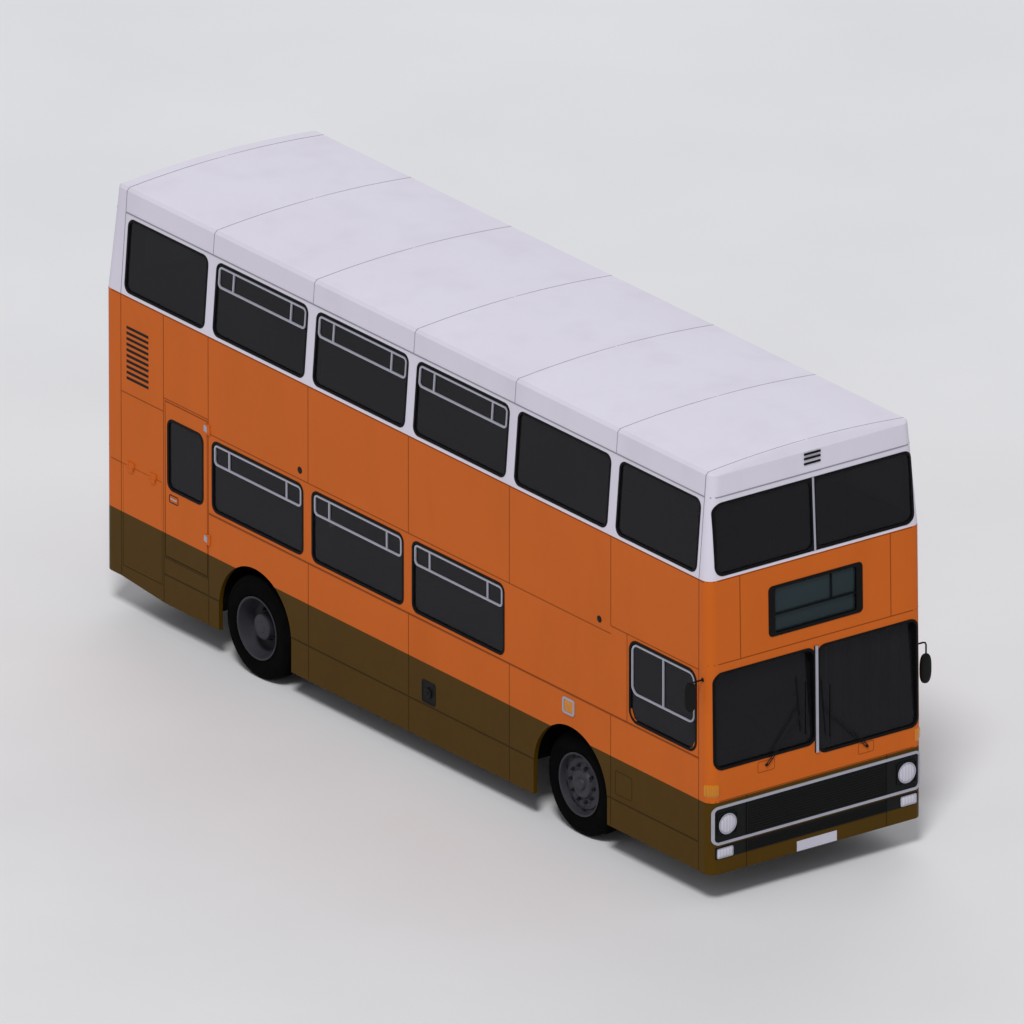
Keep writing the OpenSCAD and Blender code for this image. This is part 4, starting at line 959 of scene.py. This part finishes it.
def make_emergency_door():
    """The hinged exit door: panel, window, rubber, hinge barrels and handle."""
    place = side_map(-1)
    door = "emergency_door"
    rect, window = (-3.786, -3.119, 0.801, 2.375), (-3.746, -3.183, LOWER_SILL, LOWER_HEAD)
    panel, pane, rubber, bright = builds(4)
    framed_panel(panel, place, rect, window, WINDOW_R, 0.045)
    panes(pane, place, window, 0.002, -0.012, -0.018)
    gasket(rubber, place, window, WINDOW_R)
    frame_ring(rubber, place, inset(rect, 0.004), 0.004, 0.003, -0.030, 0.0008, 2)
    for z in EXIT_HINGE_Z:
        bright.post(-3.116, -1.260, z - 0.032, z + 0.032, 0.0085, 20)
        bright.block((-3.166, -1.2565, z - 0.032), (-3.124, -1.2505, z + 0.032))
    # recessed handle: dark dish and a flat lever
    frame_ring(rubber, place, (-3.715, -3.587, 1.375, 1.442), 0.012, 0.008, -0.001, 0.0025, 3)
    bright.block((-3.700, -1.2545, 1.400), (-3.602, -1.2505, 1.417))
    panel.done("emergency_door_panel", "paint", door, replaces=door)
    pane.done("emergency_door_pane", "glass", door)
    rubber.done("emergency_door_rubber", "rubber", door)
    bright.done("emergency_door_metalwork", "silver", door, bevel=0.001)


make_emergency_door()


def make_hinge_plates():
    """Painted plates over the fixed halves of the exit door's and side flap's hinges."""
    build = Build()
    for z in EXIT_HINGE_Z:
        build.block((-3.110, -1.2615, z - 0.052), (-3.068, -1.2502, z + 0.052))
    for x in (-4.323, -3.973):
        build.block((x - 0.052, -1.2615, 1.5345), (x + 0.052, -1.2502, 1.5760))
    build.done("hinge_plates", "paint", bevel=0.002)


make_hinge_plates()


def make_sill():
    """The brown kick strip along the outside of the entrance step, and its tread."""
    sill, tread = builds(2)
    low, high = box("entrance_step")
    x0, x1, tread_z = low.x + 0.030, high.x - 0.030, 0.330
    sill.block((x0, HALF_W - 0.004, low.z + 0.001), (x1, HALF_W, tread_z - 0.001))
    for k in range(9):
        y = 0.870 + 0.036 * k
        tread.block((x0 + 0.010, y, tread_z + 0.0003), (x1 - 0.010, y + 0.014, tread_z + 0.003))
    sill.done("entrance_sill", "paint", slot="paint_brown")
    tread.done("entrance_tread", "rubber")


make_sill()

# ---- seats ----
LOWER_ROWS = (1.384, 0.624, -0.136)
UPPER_ROWS = tuple(3.814 - 0.76 * i for i in range(10))
CUSHION_D, BACK_T = 0.430, 0.080


def power(c, p):
    """c to the power p, with its sign kept."""
    return math.copysign(abs(c) ** p, c)


def pillow(cover, piping, middle, half, across, face, channels=(), crown=0.016):
    """A crowned pad.

    half is half its depth, width and thickness. Its depth runs along across, its soft side looks along face,
    and its width runs along Y. channels are sewn grooves, as y from the middle.
    """
    middle, across, face = Vector(middle), Vector(across), Vector(face)
    hd, hw, ht = half
    stations, edge = 48, 0.028
    rows = []
    for j in range(stations + 1):
        w = math.sin(math.pi / 2 * (-1 + 2 * j / stations))
        over = clamp((abs(w) * hw - (hw - edge)) / edge)
        tuck = 1 - math.sqrt(1.0 - over ** 2)
        pinch = sum(0.008 * math.exp(-((w * hw - c) / 0.009) ** 2) for c in channels)
        row = []
        for t in circle(28):
            d = (hd - edge * tuck - 0.006 * (1 - w * w)) * power(math.cos(t), 0.42)
            n = (ht - edge * 0.8 * tuck) * power(math.sin(t), 0.42)
            if n > 0:
                swell = (1 - (d / hd) ** 2) * (1 - w ** 4)
                n -= (crown * (1 - swell) + pinch) * n / ht
            row.append(middle + across * d + Vector((0.0, w * hw, 0.0)) + face * n)
        rows.append(row)
    cover.capped(rows)
    # welts along the two long edges of the soft side
    for k in (3, 11):
        piping.tube([rows[j][k] for j in range(2, stations - 1, 2)], 0.0035, 6)


FORWARD, UP = (1, 0, 0), (0, 0, 1)


def bench(cover, piping, metal, x, y0, y1, z):
    """A double seat facing forward: cushion, squab, grab rail and a leg frame."""
    mid, half = (y0 + y1) / 2, (y1 - y0) / 2
    deep, thick, wide = CUSHION_D / 2, BACK_T / 2, half - 0.004
    pillow(cover, piping, (x + deep, mid, z + 0.405), (deep, wide, 0.045), FORWARD, UP, (0.0,))
    grooves = (-half / 2, 0.0, half / 2)
    pillow(cover, piping, (x - thick, mid, z + 0.660), (0.290, wide, thick), UP, FORWARD, grooves, 0.012)
    bend = ((0.030, 0.940), (0.036, 0.975), (0.060, 0.988))
    rail = [(y0 + d, z + h) for d, h in bend] + [(y1 - d, z + h) for d, h in reversed(bend)]
    metal.tube([(x - 0.040, y, h) for y, h in rail], 0.011, 10)
    metal.block((x + 0.06, mid - 0.060, z + 0.001), (x + 0.34, mid + 0.060, z + 0.012))
    for dx in (0.090, 0.310):
        metal.post(x + dx, mid, z + 0.010, z + 0.362, 0.018)


def finish_seats(node, group, seat, cover, piping, metal, metalwork, material):
    """Makes the cushions, their welts and the metalwork under them."""
    pads = cover.done(group + "_cushions", "cloth", smooth=True, replaces=node)
    piping.done(seat + "_welts", "vinyl", smooth=True)
    metal.done(seat + metalwork, material, slot="seat_cloth", smooth=True)


def make_seats():
    """Rows of double seats, but none on the offside over the stairs."""
    for deck, z, rows, y_out in (("lower_deck", 0.620, LOWER_ROWS, 1.175),
                                 ("upper_deck", 2.540, UPPER_ROWS, 1.085)):
        parts = builds(3)
        for x in rows:
            bench(*parts, x, 0.240, y_out, z)
            if rows == LOWER_ROWS or x < 0.8 or x > 3.8:
                bench(*parts, x, -y_out, -0.240, z)
        finish_seats(deck + "_seats", deck, deck + "_seat", *parts, "_frames", "pole")


make_seats()


def make_driver_seat():
    """A single seat with a high back on a round pedestal."""
    cover, piping, metal = builds(3)
    pillow(cover, piping, (3.901, -0.720, 0.995), (0.230, 0.236, 0.055), FORWARD, UP, (-0.11, 0.11))
    pillow(cover, piping, (3.626, -0.720, 1.305), (0.365, 0.226, 0.045), UP, FORWARD, (-0.10, 0.10), 0.012)
    metal.block((3.731, -0.840, 0.621), (3.991, -0.600, 0.640))
    pedestal = [(0.100, 0.0), (0.060, 0.030), (0.050, 0.060), (0.050, 0.290)]
    metal.lathe(pedestal, (3.861, -0.720, 0.641), 32, axis=2)
    finish_seats("driver_seat", "driver_seat", "driver_seat", cover, piping, metal, "_base", "black")


make_driver_seat()


def make_grab_poles():
    """Upright poles at the seats of both decks."""
    build = Build()
    for x in LOWER_ROWS:
        for s in (-1, 1):
            build.post(x - 0.040, s * 0.270, 1.600, 2.478, 0.015)
    for x in UPPER_ROWS[1::3]:
        build.post(x - 0.040, 0.270, 3.520, 4.190, 0.015)
    build.done("grab_poles", "pole", slot="door_frame", smooth=True)


make_grab_poles()

# ---- mirrors and wipers ----


def oval(centre, depth, hy, hz):
    """A long oval with flattened sides, at depth along X from centre."""
    return [Vector(centre) + Vector((depth, hy * power(math.cos(t), 0.80), hz * power(math.sin(t), 0.72)))
            for t in circle(40)]


def make_mirrors():
    """Shells with a rounded back, their glasses, and bent arms from the front pillars."""
    shell, glass = builds(2)
    for s, x, z, arm_z in ((-1, 4.634, 2.110, 2.255), (1, 4.604, 1.720, 1.990)):
        centre = (x, s * 1.390, z)
        profile = ((-0.0195, 0.86), (-0.0195, 0.97), (-0.012, 1.0), (0.004, 0.97), (0.013, 0.84),
                   (0.018, 0.60), (0.0195, 0.25))
        rows = [oval(centre, depth, 0.065 * k, 0.150 * (0.4 + 0.6 * k)) for depth, k in profile]
        shell.grid(rows, close_u=True).cap(rows[-1])
        glass.cap(oval(centre, -0.0190, 0.056, 0.137))
        bends = ((0.001, 0.0), (0.020, 0.0), (0.105, 0.0), (0.130, 0.008), (0.140, 0.030))
        arm = [(x, s * (HALF_W + out), arm_z - down) for out, down in bends]
        shell.tube(arm + [(x, centre[1], min(z + 0.140, arm_z - 0.035))], 0.0085)
        boss = ((0.020, 0.001), (0.020, 0.005), (0.012, 0.009), (0.0088, 0.011))
        shell.lathe([(r, s * out) for r, out in boss], (x, s * HALF_W, arm_z), 20)
    shell.done("mirror_shells", "black", smooth=True, replaces="mirrors")
    glass.done("mirror_glasses", "mirror")


make_mirrors()


def make_wipers():
    """Twin-rod arms with a blade carrier and a rubber edge."""
    arms, rubber = builds(2)
    face = FRONT_X
    cap = [(0.014, 0.0005), (0.014, 0.012), (0.011, 0.018), (0.005, 0.0215), (0.0001, 0.0215)]
    for pivot_y, pivot_z, y, z0, z1 in ((-0.593, 1.280, -0.140, 1.484, 2.015),
                                        (0.585, 1.183, 0.145, 1.384, 1.920)):
        mid_z = (z0 + z1) / 2
        dy, dz = y - pivot_y, mid_z - pivot_z
        length = math.hypot(dy, dz)
        arms.lathe(cap, (face, pivot_y, pivot_z), 24, axis=0)
        for off in (0.011, -0.011):
            ny, nz = -dz / length * off, dy / length * off
            ends = (pivot_y + ny, pivot_z + nz), (y + ny, mid_z + nz)
            arms.tube([(face + 0.0135, *end) for end in ends], 0.0042, 8)
        arms.post(face + 0.0165, y, z0 + 0.02, z1 - 0.02, 0.0045, 8)
        for z in (z0 + 0.03, mid_z - 0.12, mid_z, mid_z + 0.12, z1 - 0.03):
            arms.block((face + 0.008, y - 0.005, z - 0.008), (face + 0.0185, y + 0.005, z + 0.008))
        rubber.block((face + 0.0045, y - 0.005, z0), (face + 0.013, y + 0.005, z1))
    arms.done("wiper_arms", "black", smooth=True, replaces="wipers")
    rubber.done("wiper_blades", "rubber")


make_wipers()


def make_steering_wheel():
    """A thin rim with three spokes, a domed hub and the column."""
    build = Build()
    hub = Vector((4.291, -0.720, 1.330))
    turn = Matrix.Rotation(math.radians(-28.0), 3, "Y")

    def at(r, t, h):
        return hub + turn @ Vector((r * math.cos(t), r * math.sin(t), h))
    rim = [[at(0.246 + 0.012 * math.cos(u), t, 0.012 * math.sin(u)) for u in circle(14)] for t in circle(72)]
    build.grid(rim, close_u=True, close_v=True)
    spoke = ((0.035, -0.004), (0.140, -0.006), (0.240, 0.0))
    for t in circle(3):
        build.tube([at(r, t + math.pi, h) for r, h in spoke], 0.008, 10)
    column = ((0.0001, 0.012), (0.030, 0.010), (0.042, 0.002), (0.044, -0.012), (0.020, -0.018),
              (0.0195, -0.240))
    build.grid([[at(r, t, h) for t in circle(32)] for r, h in column], close_u=True)
    node = "steering_wheel"
    build.done("steering_wheel_rim", "black", node, smooth=True, replaces=node)


make_steering_wheel()

# ---- rear lamps and blank plates ----


def make_rear():
    """Lamp clusters, the blank plate and the engine cover's louvres."""
    red, amber, clear, black, louvres, face = builds(6)
    rear = end_map(-1)
    for s in (-1, 1):
        y0, y1 = s * 1.040 - 0.043, s * 1.040 + 0.043
        frame_ring(black, rear, (y0 - 0.002, y1 + 0.002, 0.650, 1.060), 0.010, 0.009, -0.002, 0.0125, 3)
        for build, z0, z1 in ((amber, 0.940, 1.055), (red, 0.785, 0.930), (clear, 0.655, 0.775)):
            domed(build, rear, (y0, y1, z0, z1), 0.004, 0.009, 4, 8, 8)
    frame_ring(black, rear, (-0.256, 0.256, 1.624, 1.726), 0.010, 0.004, -0.001, 0.0062, 3)
    for k in range(8):
        z = 0.640 + 0.050 * k
        for y0, y1 in ((-0.700, -0.060), (0.060, 0.700)):
            louvres.block((REAR_X - 0.0035, y0, z), (REAR_X + 0.001, y1, z + 0.022))
    panes(face, rear, (-0.252, 0.252, 1.628, 1.722), 0.0, 0.0070)
    face.done("rear_plate_face", "yellow")
    red.done("rear_red_lenses", "red", smooth=True, replaces="rear_lamps")
    amber.done("rear_amber_lenses", "amber", smooth=True)
    clear.done("rear_clear_lenses", "lamp", smooth=True)
    black.done("rear_lamp_frames", "black")
    louvres.done("engine_cover_louvres", "black", "engine_cover")


make_rear()

# ---- floor, lamps and world ----


def make_stage():
    """A pale floor that reaches past every view."""
    bpy.ops.mesh.primitive_plane_add(size=2400.0, location=(0.0, 0.0, 0.0))
    floor = bpy.context.object
    floor.name = "floor"
    s = Shader("pale_floor", (0.78, 0.78, 0.79, 1.0), 0.9)
    fac = s.rescale(s.noise(0.3), 0.3, 0.7, 0.0, 1.0)
    s.color(s.mix(fac, (0.76, 0.76, 0.77, 1.0), (0.80, 0.80, 0.81, 1.0)))
    floor.data.materials.append(s.mat)


make_stage()


def sun(name, azimuth, elevation, strength, angle):
    """A soft sun from azimuth (0 is +X, 90 is +Y) and elevation, in degrees."""
    data = bpy.data.lights.new(name, "SUN")
    data.energy = strength
    data.angle = math.radians(angle)
    obj = add(name, data)
    a, e = math.radians(azimuth), math.radians(elevation)
    toward = Vector((math.cos(a) * math.cos(e), math.sin(a) * math.cos(e), math.sin(e)))
    obj.rotation_euler = toward.to_track_quat("Z", "Y").to_euler()


sun("key", -45.0, 55.0, 1.72, 14.0)
sun("back", 140.0, 35.0, 0.55, 40.0)


def make_world():
    """An even, faintly blue sky."""
    world = bpy.data.worlds.new("studio")
    bpy.context.scene.world = world
    world.use_nodes = True
    sky = world.node_tree.nodes["Background"]
    sky.inputs["Color"].default_value = (0.93, 0.95, 1.0, 1.0)
    sky.inputs["Strength"].default_value = 0.38


make_world()
bpy.context.scene.view_settings.view_transform = "Standard"
